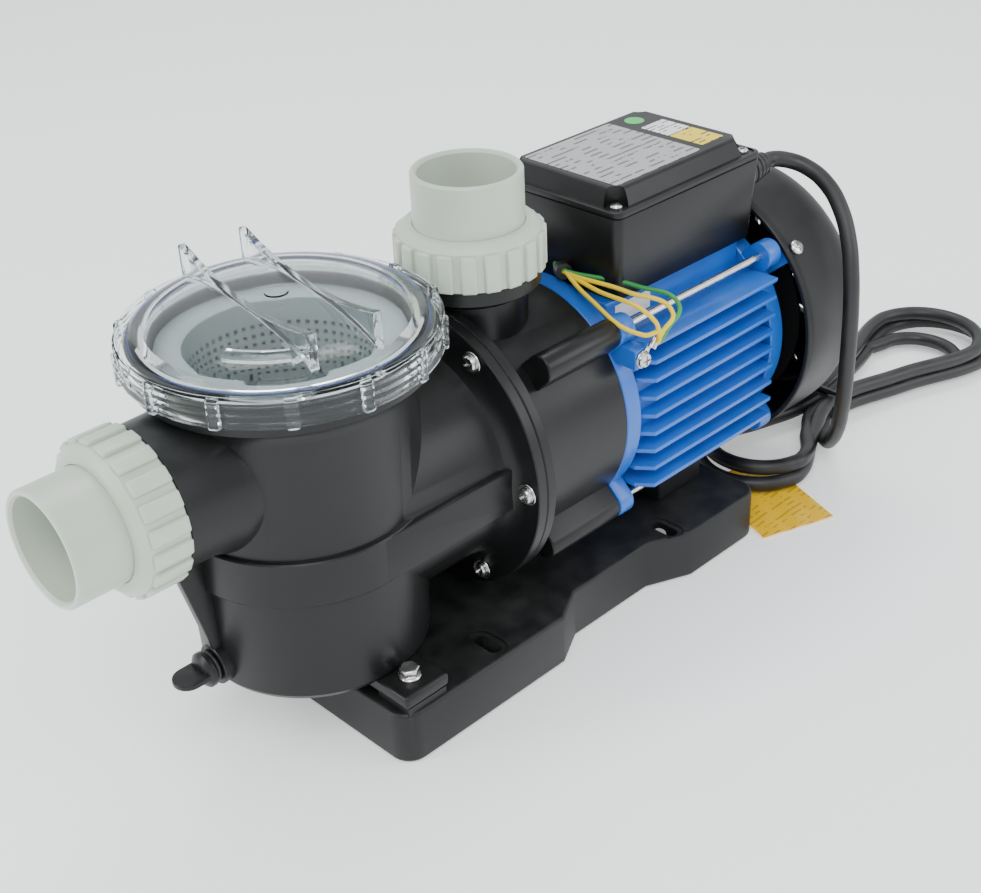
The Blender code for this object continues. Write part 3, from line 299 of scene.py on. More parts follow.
# ---------- shader groups
def wired(tree, kind, values=None, **settings):
    """New shader node with its settings and the values of its unlinked inputs."""
    node = tree.nodes.new("ShaderNode" + kind)
    for setting, value in settings.items():
        setattr(node, setting, value)
    for key, value in (values or {}).items():
        node.inputs[key].default_value = value
    return node


def linked(tree, *rows):
    """Links from rows of node, its output, node, its input."""
    for source, leave, target, enter in rows:
        tree.links.new(source.outputs[leave], target.inputs[enter])


def shader_group(name, entries, exits):
    """Empty node group of float sockets, with its entry and exit nodes."""
    tree = bpy.data.node_groups.new(name, "ShaderNodeTree")
    for entry, value in entries.items():
        made = tree.interface.new_socket(name=entry, in_out="INPUT", socket_type="NodeSocketFloat")
        made.default_value = value
    for leave in exits:
        tree.interface.new_socket(name=leave, in_out="OUTPUT", socket_type="NodeSocketFloat")
    return tree, tree.nodes.new("NodeGroupInput"), tree.nodes.new("NodeGroupOutput")


def ranged(tree, low, high, to_low=0.0, to_high=1.0):
    return wired(tree, "MapRange",
                 {"From Min": low, "From Max": high, "To Min": to_low, "To Max": to_high})


def moulding_grain():
    """Fine spark-eroded grain with slow, cloudy differences in gloss."""
    sizes = {"Grain size": 900.0, "Cloud size": 14.0}
    tree, entry, leave = shader_group("moulding_grain", sizes, ("Height", "Cloud"))
    where = wired(tree, "TexCoord")
    fine = wired(tree, "TexNoise", {"Detail": 3.0})
    cells = wired(tree, "TexVoronoi", feature="SMOOTH_F1")
    cloud = wired(tree, "TexNoise", {"Detail": 4.0})
    blend = wired(tree, "Math", {1: 0.6}, operation="MULTIPLY_ADD")
    for node, size in ((fine, "Grain size"), (cells, "Grain size"), (cloud, "Cloud size")):
        linked(tree, (where, "Object", node, "Vector"), (entry, size, node, "Scale"))
    linked(tree, (cells, "Distance", blend, 0), (fine, "Fac", blend, 2),
           (blend, 0, leave, "Height"), (cloud, "Fac", leave, "Cloud"))
    return tree


def settled_dust():
    """Mask of faint dust that lies on what faces up, broken by noise."""
    tree, entry, leave = shader_group("settled_dust", {"Amount": 0.12}, ("Mask",))
    shape = wired(tree, "NewGeometry")
    split = wired(tree, "SeparateXYZ")
    where = wired(tree, "TexCoord")
    specks = wired(tree, "TexNoise", {"Scale": 60.0, "Detail": 6.0})
    up, broken = ranged(tree, 0.35, 1.0), ranged(tree, 0.38, 0.72)
    both = wired(tree, "Math", operation="MULTIPLY")
    share = wired(tree, "Math", operation="MULTIPLY")
    linked(tree, (shape, "Normal", split, 0), (split, "Z", up, "Value"),
           (where, "Object", specks, "Vector"), (specks, "Fac", broken, "Value"),
           (up, 0, both, 0), (broken, 0, both, 1),
           (both, 0, share, 0), (entry, "Amount", share, 1),
           (share, 0, leave, "Mask"))
    return tree


GRAIN = moulding_grain()
DUST = settled_dust()


def bare_material(name, roughness, metallic=0.0, **sockets):
    material = bpy.data.materials.new(name)
    material.use_nodes = True
    shader = material.node_tree.nodes["Principled BSDF"]
    for key, value in {"Roughness": roughness, "Metallic": metallic, **sockets}.items():
        shader.inputs[key.replace("_", " ")].default_value = value
    return material, material.node_tree, shader


def roughened(tree, shader, texture, strength, depth):
    """Grain bump from a grain group into the shader's normal."""
    bump = wired(tree, "Bump", {"Strength": strength, "Distance": depth})
    linked(tree, (texture, "Height", bump, "Height"),
           (bump, "Normal", shader, "Normal"))


def grained(name, dark, light, gloss, grain=900.0, cloud=14.0, depth=0.00003, dust=0.1, metallic=0.0,
            **sockets):
    """Principled surface with grain, cloudy tone and gloss, and a little dust. gloss is (low, high)."""
    material, tree, shader = bare_material(name, gloss[0], metallic, **sockets)
    texture = wired(tree, "Group", {"Grain size": grain, "Cloud size": cloud}, node_tree=GRAIN)
    powder = wired(tree, "Group", {"Amount": dust}, node_tree=DUST)
    tone = wired(tree, "ValToRGB")
    for stop, place, colour in zip(tone.color_ramp.elements, (0.3, 0.75), (dark, light)):
        stop.position = place
        stop.color = (*colour, 1)
    dusted = wired(tree, "Mix", {"B": (0.42, 0.41, 0.38, 1)}, data_type="RGBA")
    shine = ranged(tree, 0.3, 0.7, *gloss)
    linked(tree, (texture, "Cloud", tone, "Fac"),
           (powder, "Mask", dusted, "Factor"), (tone, "Color", dusted, "A"),
           (dusted, "Result", shader, "Base Color"),
           (texture, "Cloud", shine, "Value"), (shine, 0, shader, "Roughness"))
    roughened(tree, shader, texture, 0.6, depth)
    return material


def clear_plastic():
    """Clear moulding that lets light through to what it covers."""
    material, tree, shader = bare_material("clear_polycarbonate", 0.04, Transmission_Weight=1.0, IOR=1.25,
                                           Base_Color=(0.93, 0.97, 0.98, 1))
    texture = wired(tree, "Group", {"Grain size": 40.0, "Cloud size": 18.0}, node_tree=GRAIN)
    shine = ranged(tree, 0.0, 1.0, 0.02, 0.12)
    passing = wired(tree, "BsdfTransparent", {"Color": (0.86, 0.9, 0.91, 1)})
    ray = wired(tree, "LightPath")
    blend = wired(tree, "MixShader")
    linked(tree, (texture, "Cloud", shine, "Value"),
           (shine, 0, shader, "Roughness"), (ray, "Is Shadow Ray", blend, "Fac"),
           (shader, 0, blend, 1), (passing, 0, blend, 2),
           (blend, 0, tree.nodes["Material Output"], "Surface"))
    roughened(tree, shader, texture, 0.25, 0.00025)
    return material


def printed(name, paper, ink, pitch, share, roughness=0.4, metallic=0.0):
    """Sticker with rows of broken bars that read as small print but spell nothing."""
    material, tree, shader = bare_material(name, roughness, metallic)
    where = wired(tree, "TexCoord")
    grid = wired(tree, "Mapping", {"Scale": (1 / pitch,) * 3})
    bits = wired(tree, "SeparateXYZ")
    rows = wired(tree, "Math", operation="FRACT")
    row_mask = wired(tree, "Math", {1: 0.34}, operation="LESS_THAN")
    words = wired(tree, "TexNoise", {"Scale": 0.55}, noise_dimensions="2D")
    word_mask = wired(tree, "Math", {1: share}, operation="GREATER_THAN")
    ink_mask = wired(tree, "Math", operation="MULTIPLY")
    colour = wired(tree, "Mix", {"A": (*paper, 1), "B": (*ink, 1)}, data_type="RGBA")
    linked(tree, (where, "Object", grid, "Vector"), (grid, 0, bits, 0),
           (bits, "Y", rows, 0), (rows, 0, row_mask, 0),
           (grid, 0, words, "Vector"), (words, "Fac", word_mask, 0),
           (row_mask, 0, ink_mask, 0), (word_mask, 0, ink_mask, 1),
           (ink_mask, 0, colour, "Factor"), (colour, "Result", shader, "Base Color"))
    return material


BLACK = grained("satin_black", (0.0045, 0.0048, 0.005), (0.0095, 0.01, 0.0105), (0.28, 0.4), dust=0.02,
                Specular_IOR_Level=0.32)
BASE_BLACK = grained("base_black", (0.006, 0.0065, 0.007), (0.012, 0.0125, 0.013), (0.36, 0.5), dust=0.04,
                     Specular_IOR_Level=0.32)
COWL_BLACK = grained("cowl_black", (0.006, 0.006, 0.0065), (0.011, 0.0115, 0.012), (0.38, 0.52), dust=0.03,
                     Specular_IOR_Level=0.32)
BLUE = grained("motor_blue_paint", (0.005, 0.1, 0.46), (0.009, 0.14, 0.58), (0.28, 0.42), grain=420.0,
               cloud=22.0, depth=0.00012, dust=0.05, Coat_Weight=0.25, Coat_Roughness=0.2)
PVC = grained("union_plastic", (0.44, 0.5, 0.41), (0.53, 0.59, 0.5), (0.34, 0.46), grain=700.0, cloud=10.0,
              depth=0.00002, dust=0.02, Subsurface_Weight=0.05, Subsurface_Scale=0.004)
BASKET = grained("basket_plastic", (0.2, 0.23, 0.225), (0.3, 0.33, 0.325), (0.4, 0.55), grain=500.0,
                 dust=0.0, Subsurface_Weight=0.1, Subsurface_Scale=0.004)
STEEL = grained("bright_steel", (0.55, 0.55, 0.54), (0.78, 0.77, 0.75), (0.16, 0.34), grain=1600.0,
                cloud=120.0, depth=0.00001, dust=0.0, metallic=1.0)
RUBBER = grained("cord_rubber", (0.01, 0.01, 0.011), (0.018, 0.018, 0.019), (0.38, 0.52), grain=600.0,
                 cloud=60.0, depth=0.00004, dust=0.03)
SEAL = grained("seal_rubber", (0.006, 0.03, 0.16), (0.01, 0.05, 0.22), (0.4, 0.5), dust=0.0)
YELLOW_WIRE = grained("yellow_wire", (0.72, 0.5, 0.005), (0.85, 0.62, 0.01), (0.35, 0.45), dust=0.0)
GREEN_WIRE = grained("green_wire", (0.02, 0.22, 0.04), (0.03, 0.3, 0.06), (0.35, 0.45), dust=0.0)
GREEN_DOT = grained("green_dot", (0.05, 0.5, 0.1), (0.07, 0.6, 0.14), (0.35, 0.45), dust=0.0)
CLEAR = clear_plastic()
PLATE_LABEL = printed("rating_plate", (0.5, 0.5, 0.5), (0.16, 0.16, 0.17), 0.0052, 0.5, 0.32, 0.6)
WHITE_LABEL = printed("white_sticker", (0.78, 0.78, 0.76), (0.12, 0.13, 0.16), 0.0034, 0.52)
YELLOW_LABEL = printed("yellow_sticker", (0.85, 0.62, 0.02), (0.05, 0.05, 0.05), 0.004, 0.56)
TAG_FILM = printed("tag_film", (0.95, 0.56, 0.005), (0.6, 0.34, 0.01), 0.0046, 0.5, 0.36)


# ---------- camera and light
EYE_PLACE = (-0.5276, -0.5547, 0.5533)
EYE_TURNS = (46.47, 30.88, -2.58)  # degrees: bearing, fall and lean
LENS = 56.55


def photo_camera():
    """Camera at the fitted place, turned a little about its own line of sight."""
    yaw, pitch, roll = [radians(turn) for turn in EYE_TURNS]
    ahead = Vector((cos(yaw) * cos(pitch), sin(yaw) * cos(pitch), -sin(pitch)))
    right = Vector((sin(yaw), -cos(yaw), 0))
    up = right.cross(ahead)
    right, up = right * cos(roll) + up * sin(roll), up * cos(roll) - right * sin(roll)
    camera = bpy.data.cameras.new("camera")
    camera.lens = LENS
    camera.sensor_width = 36
    camera.clip_start = 0.01
    eye = in_scene("camera", camera)
    turn = Matrix((right, up, -ahead)).transposed().to_4x4()
    eye.matrix_world = shifted(*EYE_PLACE) @ turn
    bpy.context.scene.camera = eye


def soft_light(name, place, target, size, power):
    lamp = bpy.data.lights.new(name, "AREA")
    lamp.shape = "RECTANGLE"
    lamp.size, lamp.size_y = size
    lamp.energy = power
    stand = in_scene(name, lamp)
    stand.location = place
    stand.rotation_euler = (Vector(target) - Vector(place)).to_track_quat("-Z", "Y").to_euler()


def studio():
    nothing_selected()
    bpy.ops.mesh.primitive_plane_add(size=8, location=(0, 0, -0.0004))
    floor = bpy.context.object
    floor.name = "studio_floor"
    floor.data.materials.append(bare_material("pale_floor", 0.7, Base_Color=(0.95, 0.96, 0.955, 1),
                                              Emission_Color=(1, 1, 1, 1), Emission_Strength=0.3)[0])
    world = bpy.data.worlds.new("studio_air")
    bpy.context.scene.world = world
    world.use_nodes = True
    sky = world.node_tree.nodes["Background"]
    sky.inputs["Color"].default_value = (0.93, 0.97, 1.0, 1)
    sky.inputs["Strength"].default_value = 1.15
    soft_light("key_light", (-0.9, -0.9, 1.6), (0, 0, 0.1), (0.9, 0.9), 16)
    soft_light("left_strip", (-1.3, 0.5, 0.7), (-0.1, 0, 0.15), (0.4, 1.2), 10)
    soft_light("back_strip", (0.5, 0.7, 1.9), (0.05, 0, 0.15), (1.2, 0.4), 12)
    soft_light("right_fill", (0.9, -1.2, 0.8), (0.1, 0, 0.1), (0.8, 0.8), 7)


# ---------- mains lead
GLAND_EXIT = (0.2098, -0.03, 0.214)
LEAD_ROUTE = [GLAND_EXIT, (0.218, -0.03, 0.214), (0.2265, -0.0365, 0.2125), (0.232, -0.048, 0.2085),
              (0.2325, -0.0615, 0.2015), (0.2285, -0.075, 0.1905), (0.223, -0.086, 0.175),
              (0.218, -0.093, 0.157), (0.2155, -0.0965, 0.137), (0.215, -0.0975, 0.117),
              (0.216, -0.097, 0.097), (0.219, -0.095, 0.077), (0.224, -0.091, 0.058),
              (0.231, -0.085, 0.04), (0.2395, -0.0765, 0.025), (0.25, -0.066, 0.0135),
              (0.264, -0.054, 0.0085)]
PLUG_END = (0.345, 0.032, 0.0188)
WAIST = (0.29, -0.03)
LOW, HIGH = 0.0069, 0.017
STRAND = 0.0104


def hank_turns():
    """Points of the tied turns: out along the near side, round the far loop and back."""
    wx, wy = WAIST
    route = []
    near = [(-STRAND, LOW), (-STRAND, HIGH), (0.0, LOW)]
    far = [(STRAND, LOW), (STRAND, HIGH)]
    right = [(0.43, -0.038, 0.0405, LOW), (0.42, -0.035, 0.04, HIGH), (0.405, -0.038, 0.03, LOW)]
    left = [(0.212, -0.034, 0.0365, LOW), (0.2165, -0.035, 0.035, HIGH)]
    for turn in range(3):
        shift, level = near[turn]
        route.append((wx, wy + shift, level))
        x, y, r, z = right[turn]
        between = 0.5 * (wx + x)
        route.append((between, 0.5 * (wy + shift + y - r) + 0.004, level))
        route += [(*place, z) for place in arc(x, y, r, radians(-88), radians(88), 10)]
        if turn == 2:
            break
        shift, level = far[turn]
        route.append((between, 0.5 * (wy + shift + y + r) - 0.004, level))
        route.append((wx, wy + shift, level))
        x, y, r, z = left[turn]
        route.append((0.5 * (wx + x), 0.5 * (wy + shift + y + r) - 0.002, level))
        route += [(*place, z) for place in arc(x, y, r, radians(92), radians(268), 10)]
        entry, height = near[turn + 1]
        route.append((0.5 * (wx + x), 0.5 * (wy + entry + y - r) + 0.002, 0.5 * (z + height)))
    return route


def mains_lead():
    x, y, z = PLUG_END
    tail = [(0.39, -0.003, 0.008), (0.379, 0.008, 0.011), (0.369, 0.02, 0.015),
            (0.36, 0.028, 0.018), (x + 0.008, y, z), PLUG_END]
    points = LEAD_ROUTE + hank_turns() + tail
    lead = smooth_curve("mains_lead", points, CORD_RADIUS, 6, 10)
    settle(lead, RUBBER, ["power_cord", "cord_hank", "cord_tail"], smooth=None)

    gland = lathe("lead_gland", [(0, 0.1775), (0.008, 0.1775), (0.008, 0.1838), (0.0105, 0.1838),
                                 (0.0105, 0.1905), (0.0086, 0.1915), (0.0086, 0.1935), (0.0096, 0.1937),
                                 (0.0094, 0.1965), (0.008, 0.1967), (0.008, 0.1985), (0.0088, 0.1987),
                                 (0.0085, 0.201), (0.0074, 0.2012), (0.0074, 0.203), (0.008, 0.2032),
                                 (0.0077, 0.2052), (0.0067, 0.2054), (0.0067, 0.2072), (0.0072, 0.2074),
                                 (0.007, 0.2094), (0, 0.2094)], "X", (0, GLAND_EXIT[1], GLAND_EXIT[2]), 48)
    bevelled(gland, 0.0004)
    settle(gland, RUBBER, ["cable_gland"])

    tie = lathe("lead_tie", [(0.0125, -0.004), (0.0137, -0.004), (0.0137, 0.004), (0.0125, 0.004)],
                "X", steps=40)
    moved(tie, shifted(WAIST[0], WAIST[1], 0.0122) @ Matrix.Diagonal((1, 1.32, 0.8, 1)))
    knot = lathe("tie_twist", [(0, -0.014), (0.0012, -0.014), (0.0022, -0.004), (0.0022, 0.004),
                               (0.0012, 0.014), (0, 0.014)], "Y", steps=16)
    moved(knot, shifted(WAIST[0] + 0.001, WAIST[1] - 0.004, 0.025))
    tie = joined("lead_tie", [tie, knot])
    settle(tie, BLACK)

    plug = power_plug()
    tag = blank_tag()


def power_plug():
    x, y, z = PLUG_END
    outline = ((0, 0.0003), (0.006, 0.0003), (0.0066, 0.003), (0.006, 0.0035), (0.007, 0.0075),
               (0.0063, 0.008), (0.0078, 0.013), (0.0165, 0.017), (0.0183, 0.022), (0.0183, 0.0405),
               (0.0175, 0.0419), (0, 0.0419))
    body = lathe("mains_plug", [(r, x - back) for r, back in outline], "X", (0, y, z), 64)
    flat = [brick("flat", (x - 0.04, y - 0.03, z + s * 0.0145), (x - 0.019, y + 0.03, z + s * 0.03))
            for s in (-1, 1)]
    cut(body, *flat)
    bevelled(body, 0.0008, 3)
    settle(body, BLACK, ["power_plug"])
    pin = lathe("plug_pins", [(0, x - 0.0608), (0.0016, x - 0.0608), (0.0023, x - 0.0596),
                              (0.0023, x - 0.041), (0, x - 0.041)], "X", steps=32)
    pins = copies("plug_pins", pin, [shifted(0, y + s * 0.0095, z) for s in (-1, 1)])
    settle(pins, STEEL)
    return body


TAG_CORNERS = ((0.1721, -0.0202), (0.144, -0.093), (0.1925, -0.1117), (0.2206, -0.0389))


def blank_tag():
    """Blank-worded yellow film that lies under the hank, curled a little at its free corners."""
    nothing_selected()
    bpy.ops.mesh.primitive_grid_add(x_subdivisions=24, y_subdivisions=24, size=1)
    tag = bpy.context.object
    tag.name = "film_tag"
    a, b, c, d = [Vector(p) for p in TAG_CORNERS]
    for corner in tag.data.vertices:
        s, t = corner.co.x + 0.5, corner.co.y + 0.5
        flat = (a.lerp(b, t)).lerp(d.lerp(c, t), s)
        curl = 0.0005 + 0.0035 * max(0, t - 0.55) ** 2 * (0.4 + s) + 0.0006 * sin(9 * s + 3 * t) ** 2
        corner.co = (flat.x, flat.y, curl)
    applied(tag, "SOLIDIFY", thickness=0.00025, offset=1)
    settle(tag, TAG_FILM, ["caution_tag"])
    return tag


photo_camera()
studio()
mains_lead()


# ---------- base
SIDE = turned(pi / 2, "X")
BASE_TOP = 0.032
BOLT_ROWS = (-0.07, 0.07)


def base_moulding():
    half_l, half_w, waist, corner = 0.149, 0.084, 0.072, 0.012
    side = arc(half_l - corner, half_w - corner, corner, 0, pi / 2, 8)
    side += [(0.083, half_w), (0.055, waist), (-0.008, waist), (-0.03, half_w)]
    side += arc(-half_l + corner, half_w - corner, corner, pi / 2, pi, 8)
    base = plate("base_moulding", side + [(x, -y) for x, y in reversed(side)], 0, BASE_TOP)
    bevelled(base, 0.0022, 4, 50)
    added(base, *[brick("pad", (-0.144, y - 0.012, BASE_TOP - 0.003), (-0.118, y + 0.012, 0.036))
                  for y in BOLT_ROWS])
    half, reach, spine, rib = 0.144, 0.067, 0.008, 0.005
    pitch = (2 * half + rib) / 4
    for k in range(4):
        x = -half + k * pitch
        for low, high in ((-reach, -spine), (spine, reach)):
            pocket = brick("pocket", (x, low, -0.01), (x + pitch - rib, high, BASE_TOP - 0.005))
            bevelled(pocket, 0.002, 2, 50)
            cut(base, pocket)
    for x in (-0.075, 0.075):
        for y in (-0.069, 0.069):
            slot = arc(x, y + 0.005, 0.004, 0, pi, 10) + arc(x, y - 0.005, 0.004, pi, TURN, 10)
            well = arc(x, y + 0.005, 0.0075, 0, pi, 12) + arc(x, y - 0.005, 0.0075, pi, TURN, 12)
            cut(base, plate("slot", slot, 0.02, 0.04), plate("well", well, BASE_TOP - 0.0008, 0.04))
    settle(base, BASE_BLACK, ["base_plate"], smooth=30)

    saddle = brick("motor_cradle", (0.095, -0.048, BASE_TOP + 0.0003), (0.135, 0.048, SHAFT_Z - 0.049))
    bevelled(saddle, 0.0015, 3)
    seat = drum("seat", 0.0633, 0.08, 0.15, "X", SHAFT_AXIS, 128)
    cut(saddle, seat)
    settle(saddle, BASE_BLACK, ["motor_saddle"])


# ---------- screws
def cross_screw(name, head, height, length, shank, washer=0.0):
    """Pan-headed cross screw along +Z with its seat at height 0."""
    rise = 0.0007 if washer else 0.0
    profile = [(0, -length), (shank * 0.8, -length), (shank, -length + 0.001), (shank, rise)]
    profile += [(head * 0.96, rise), (head, rise + 0.0004), (head * 0.97, rise + height * 0.55),
                (head * 0.82, rise + height * 0.85), (head * 0.55, rise + height * 0.98), (0, rise + height)]
    screw = lathe(name, profile, steps=40)
    arm, wide = head * 0.62, head * 0.13
    deep = rise + height * 0.35
    for x, y in ((arm, wide), (wide, arm)):
        notch = brick("notch", (-x, -y, deep), (x, y, height * 2))
        cut(screw, pinched(notch, height * 1.2, (0, 0), (1.15, 1.15)))
    if washer:
        ring = lathe("washer", [(shank + 0.0001, 0), (washer - 0.0003, 0), (washer, 0.0003),
                                (washer - 0.0002, 0.0007), (shank + 0.0001, 0.0007)], steps=40)
        screw = joined(name, [screw, ring])
    return screw


def hex_bolt(name, across, height, length, shank, washer):
    bolt = lathe(name, [(0, -length), (shank, -length), (shank, 0), (washer, 0), (washer, 0.0007),
                        (washer * 0.86, 0.0016), (across * 0.6, 0.0018), (0, 0.0018)], steps=48)
    head = lathe("head", [(0, 0.0015), (across * 0.577, 0.0015), (across * 0.577, 0.0015 + height * 0.86),
                          (across * 0.48, 0.0015 + height), (0, 0.0015 + height)], steps=6)
    bevelled(head, 0.0003)
    return joined(name, [bolt, head])


def fixings(name, model, places, node, count):
    """One piece for a set of like screws."""
    nodes = [f"{node}_{k}" for k in range(1, count + 1)]
    settle(copies(name, model, places), STEEL, nodes, smooth=30)


COWL_LUGS = (40, 140, 270)         # degrees round the shaft
BOX_SCREWS = [(x, y) for x in (0.0635, 0.175) for y in (-0.0395, 0.0395)]


def screws():
    toward_pot = turned(-pi / 2, "Y")
    ring = [shifted(-0.0468, 0.075 * cos(a), SHAFT_Z + 0.075 * sin(a)) @ toward_pot @ turned(a * 1.7, "Z")
            for a in [TURN * k / 6 for k in range(6)]]
    fixings("flange_screw_set", cross_screw("screw", 0.0046, 0.003, 0.012, 0.0025, 0.0062), ring,
            "flange_screw", 6)
    ring = [shifted(0.195, 0, SHAFT_Z) @ turned(radians(angle - 90), "X") @ shifted(0, 0, 0.0883)
            for angle in COWL_LUGS]
    fixings("cowl_screw_set", cross_screw("screw", 0.0046, 0.0026, 0.012, 0.002), ring, "cover_screw", 3)
    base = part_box("lid_screw_1")[0][2] + 0.016
    places = [shifted(x, y, base) @ turned(x * 9 + y * 40, "Z") for x, y in BOX_SCREWS]
    fixings("box_screw_set", cross_screw("screw", 0.0036, 0.0023, 0.015, 0.0015), places, "lid_screw", 4)
    places = [shifted(-0.132, y, 0.0446) @ turned(y * 8, "Z") for y in BOLT_ROWS]
    fixings("foot_bolt_set", hex_bolt("bolt", 0.0098, 0.0046, 0.02, 0.003, 0.006), places, "base_bolt", 2)


# ---------- strainer pot
STUB_RADIUS = 0.0375
PORT_RADIUS = 0.025


def strainer_pot():
    wall = [(0, 0.042), (0.057, 0.042), (0.06, 0.0432), (0.062, 0.0462), (0.0632, 0.1036),
            (0.0654, 0.104), (0.066, 0.1048), (0.066, 0.1292), (0.0654, 0.13), (0.0636, 0.1306),
            (0.065, 0.195), (0.0668, 0.201), (0.07, 0.2046), (0.0745, 0.206), (0.075, 0.2066),
            (0.075, 0.2234), (0.0744, 0.224), (0.0716, 0.224), (0.0716, 0.2208), (0.068, 0.2208),
            (0.068, 0.224), (0.0646, 0.224), (0.064, 0.2234), (0.064, 0.2142), (0.059, 0.214),
            (0.059, 0.052), (0.056, 0.048), (0, 0.048)]
    pot = lathe("pot_moulding", wall, "Z", POT_AXIS, 128)
    barrel = lathe("barrel", [(0, POT_X), (0.063, POT_X), (0.0632, -0.056), (0.0645, -0.051),
                              (0.068, -0.0478), (0.074, -0.0465), (0.0829, -0.0465), (0.0835, -0.0459),
                              (0.0835, -0.0406), (0.0829, -0.04), (0, -0.04)],
                   "X", SHAFT_AXIS, 128)
    rail = bevelled(brick("rail", (POT_X, -0.0662, 0.1046), (-0.045, 0.0662, 0.1294)), 0.0008)
    stub = lathe("stub", [(0, -0.2435), (0.0344, -0.2435), (0.035, -0.2429), (0.035, -0.2257),
                          (0.0369, -0.2257), (STUB_RADIUS, -0.2251), (STUB_RADIUS + 0.0004, -0.205),
                          (STUB_RADIUS + 0.0035, -0.195), (STUB_RADIUS + 0.0035, POT_X), (0, POT_X)],
                 "X", (0, 0, SUCTION_Z), 96)
    web = plate("web", [(-0.2215, 0.1365), (-0.201, 0.057), (-0.187, 0.057), (-0.187, 0.14)],
                -0.003, 0.003, SIDE)
    bevelled(web, 0.0009)
    drain_z = middle("drain_oring")[2]
    boss = lathe("boss", [(0, -0.204), (0.0106, -0.204), (0.0112, -0.2034), (0.0112, -0.182),
                          (0, -0.182)], "X", (0, 0, drain_z), 48)
    foot = bevelled(brick("foot", (-0.146, -0.083, 0.0363), (-0.116, 0.083, 0.0443)), 0.0022, 3)
    added(pot, barrel, rail, stub, web, boss, foot)
    inside = lathe("inside", [(0, 0.048), (0.056, 0.048), (0.059, 0.052), (0.059, 0.214), (0.064, 0.2142),
                              (0.064, 0.24), (0, 0.24)], "Z", POT_AXIS, 112)
    inlet = drum("inlet", PORT_RADIUS, -0.26, -0.17, "X", (0, 0, SUCTION_Z), 80)
    outlet = drum("outlet", 0.05, -0.1, -0.03, "X", SHAFT_AXIS, 80)
    cut(pot, inside, inlet, outlet)
    settle(pot, BLACK, ["strainer_pot"], smooth=32)

    knob = lathe("drain_knob", [(0, -0.194), (0.006, -0.194), (0.006, -0.2071), (0.0092, -0.2071),
                                (0.0098, -0.2077), (0.0098, -0.21), (0.0086, -0.2112), (0.0064, -0.2126),
                                (0, -0.2126)], "X", (0, 0, drain_z), 64)
    head = -0.2071
    wing = [(head - 0.003, 0.0085)] + arc(head - 0.012, 0, 0.0085, pi / 2, 1.5 * pi, 20)
    wing += [(head - 0.003, -0.0085)]
    handle = bevelled(plate("wing", wing, drain_z - 0.0016, drain_z + 0.0016), 0.0007, 3)
    added(knob, handle)
    settle(knob, BLACK, ["drain_plug"], "drain")
    ring = seal_ring("drain_seal_ring", 0.0077, -0.2055, 0.0012, 12, "X", (0, 0, drain_z), 48)
    settle(ring, RUBBER, ["drain_oring"], "drain_seal")


def strainer_basket():
    """Perforated cup: a fine grid with its square holes left out, then thickened."""
    rows, columns = 60, 128
    low, high, top, narrow = 0.0545, 0.2135, 0.051, 0.047
    side = [(narrow + (top - narrow) * k / rows, low + (high - low) * k / rows) for k in range(rows + 1)]
    cup = lathe("debris_cup", side, "Z", POT_AXIS, columns, open_ended=True)
    only(cup)
    mode("EDIT")
    bpy.ops.mesh.select_mode(type="FACE")
    bpy.ops.mesh.select_all(action="DESELECT")
    mode("OBJECT")
    for face in cup.data.polygons:
        x, y, z = face.center
        row = int((z - low) / (high - low) * rows)
        column = int((atan2(y, x - POT_X) % TURN) / TURN * columns)
        face.select = row % 2 == 1 and column % 2 == 1 and 2 < row < rows - 3
    mode("EDIT")
    bpy.ops.mesh.delete(type="ONLY_FACE")
    bpy.ops.mesh.select_mode(type="VERT")
    mode("OBJECT")
    applied(cup, "SOLIDIFY", thickness=0.0018, offset=-1)
    rim = lathe("rim", [(0.049, 0.2128), (0.0632, 0.2143), (0.0637, 0.2148), (0.0637, 0.2168),
                        (0.063, 0.2172), (0.052, 0.2172), (0.049, 0.216)], "Z", POT_AXIS, 128)
    floor = lathe("floor", [(0, 0.054), (0.047, 0.054), (0.0472, 0.056), (0, 0.056)], "Z", POT_AXIS, 96)
    cup = joined("debris_cup", [cup, rim, floor])
    settle(cup, BASKET, ["strainer_basket"])


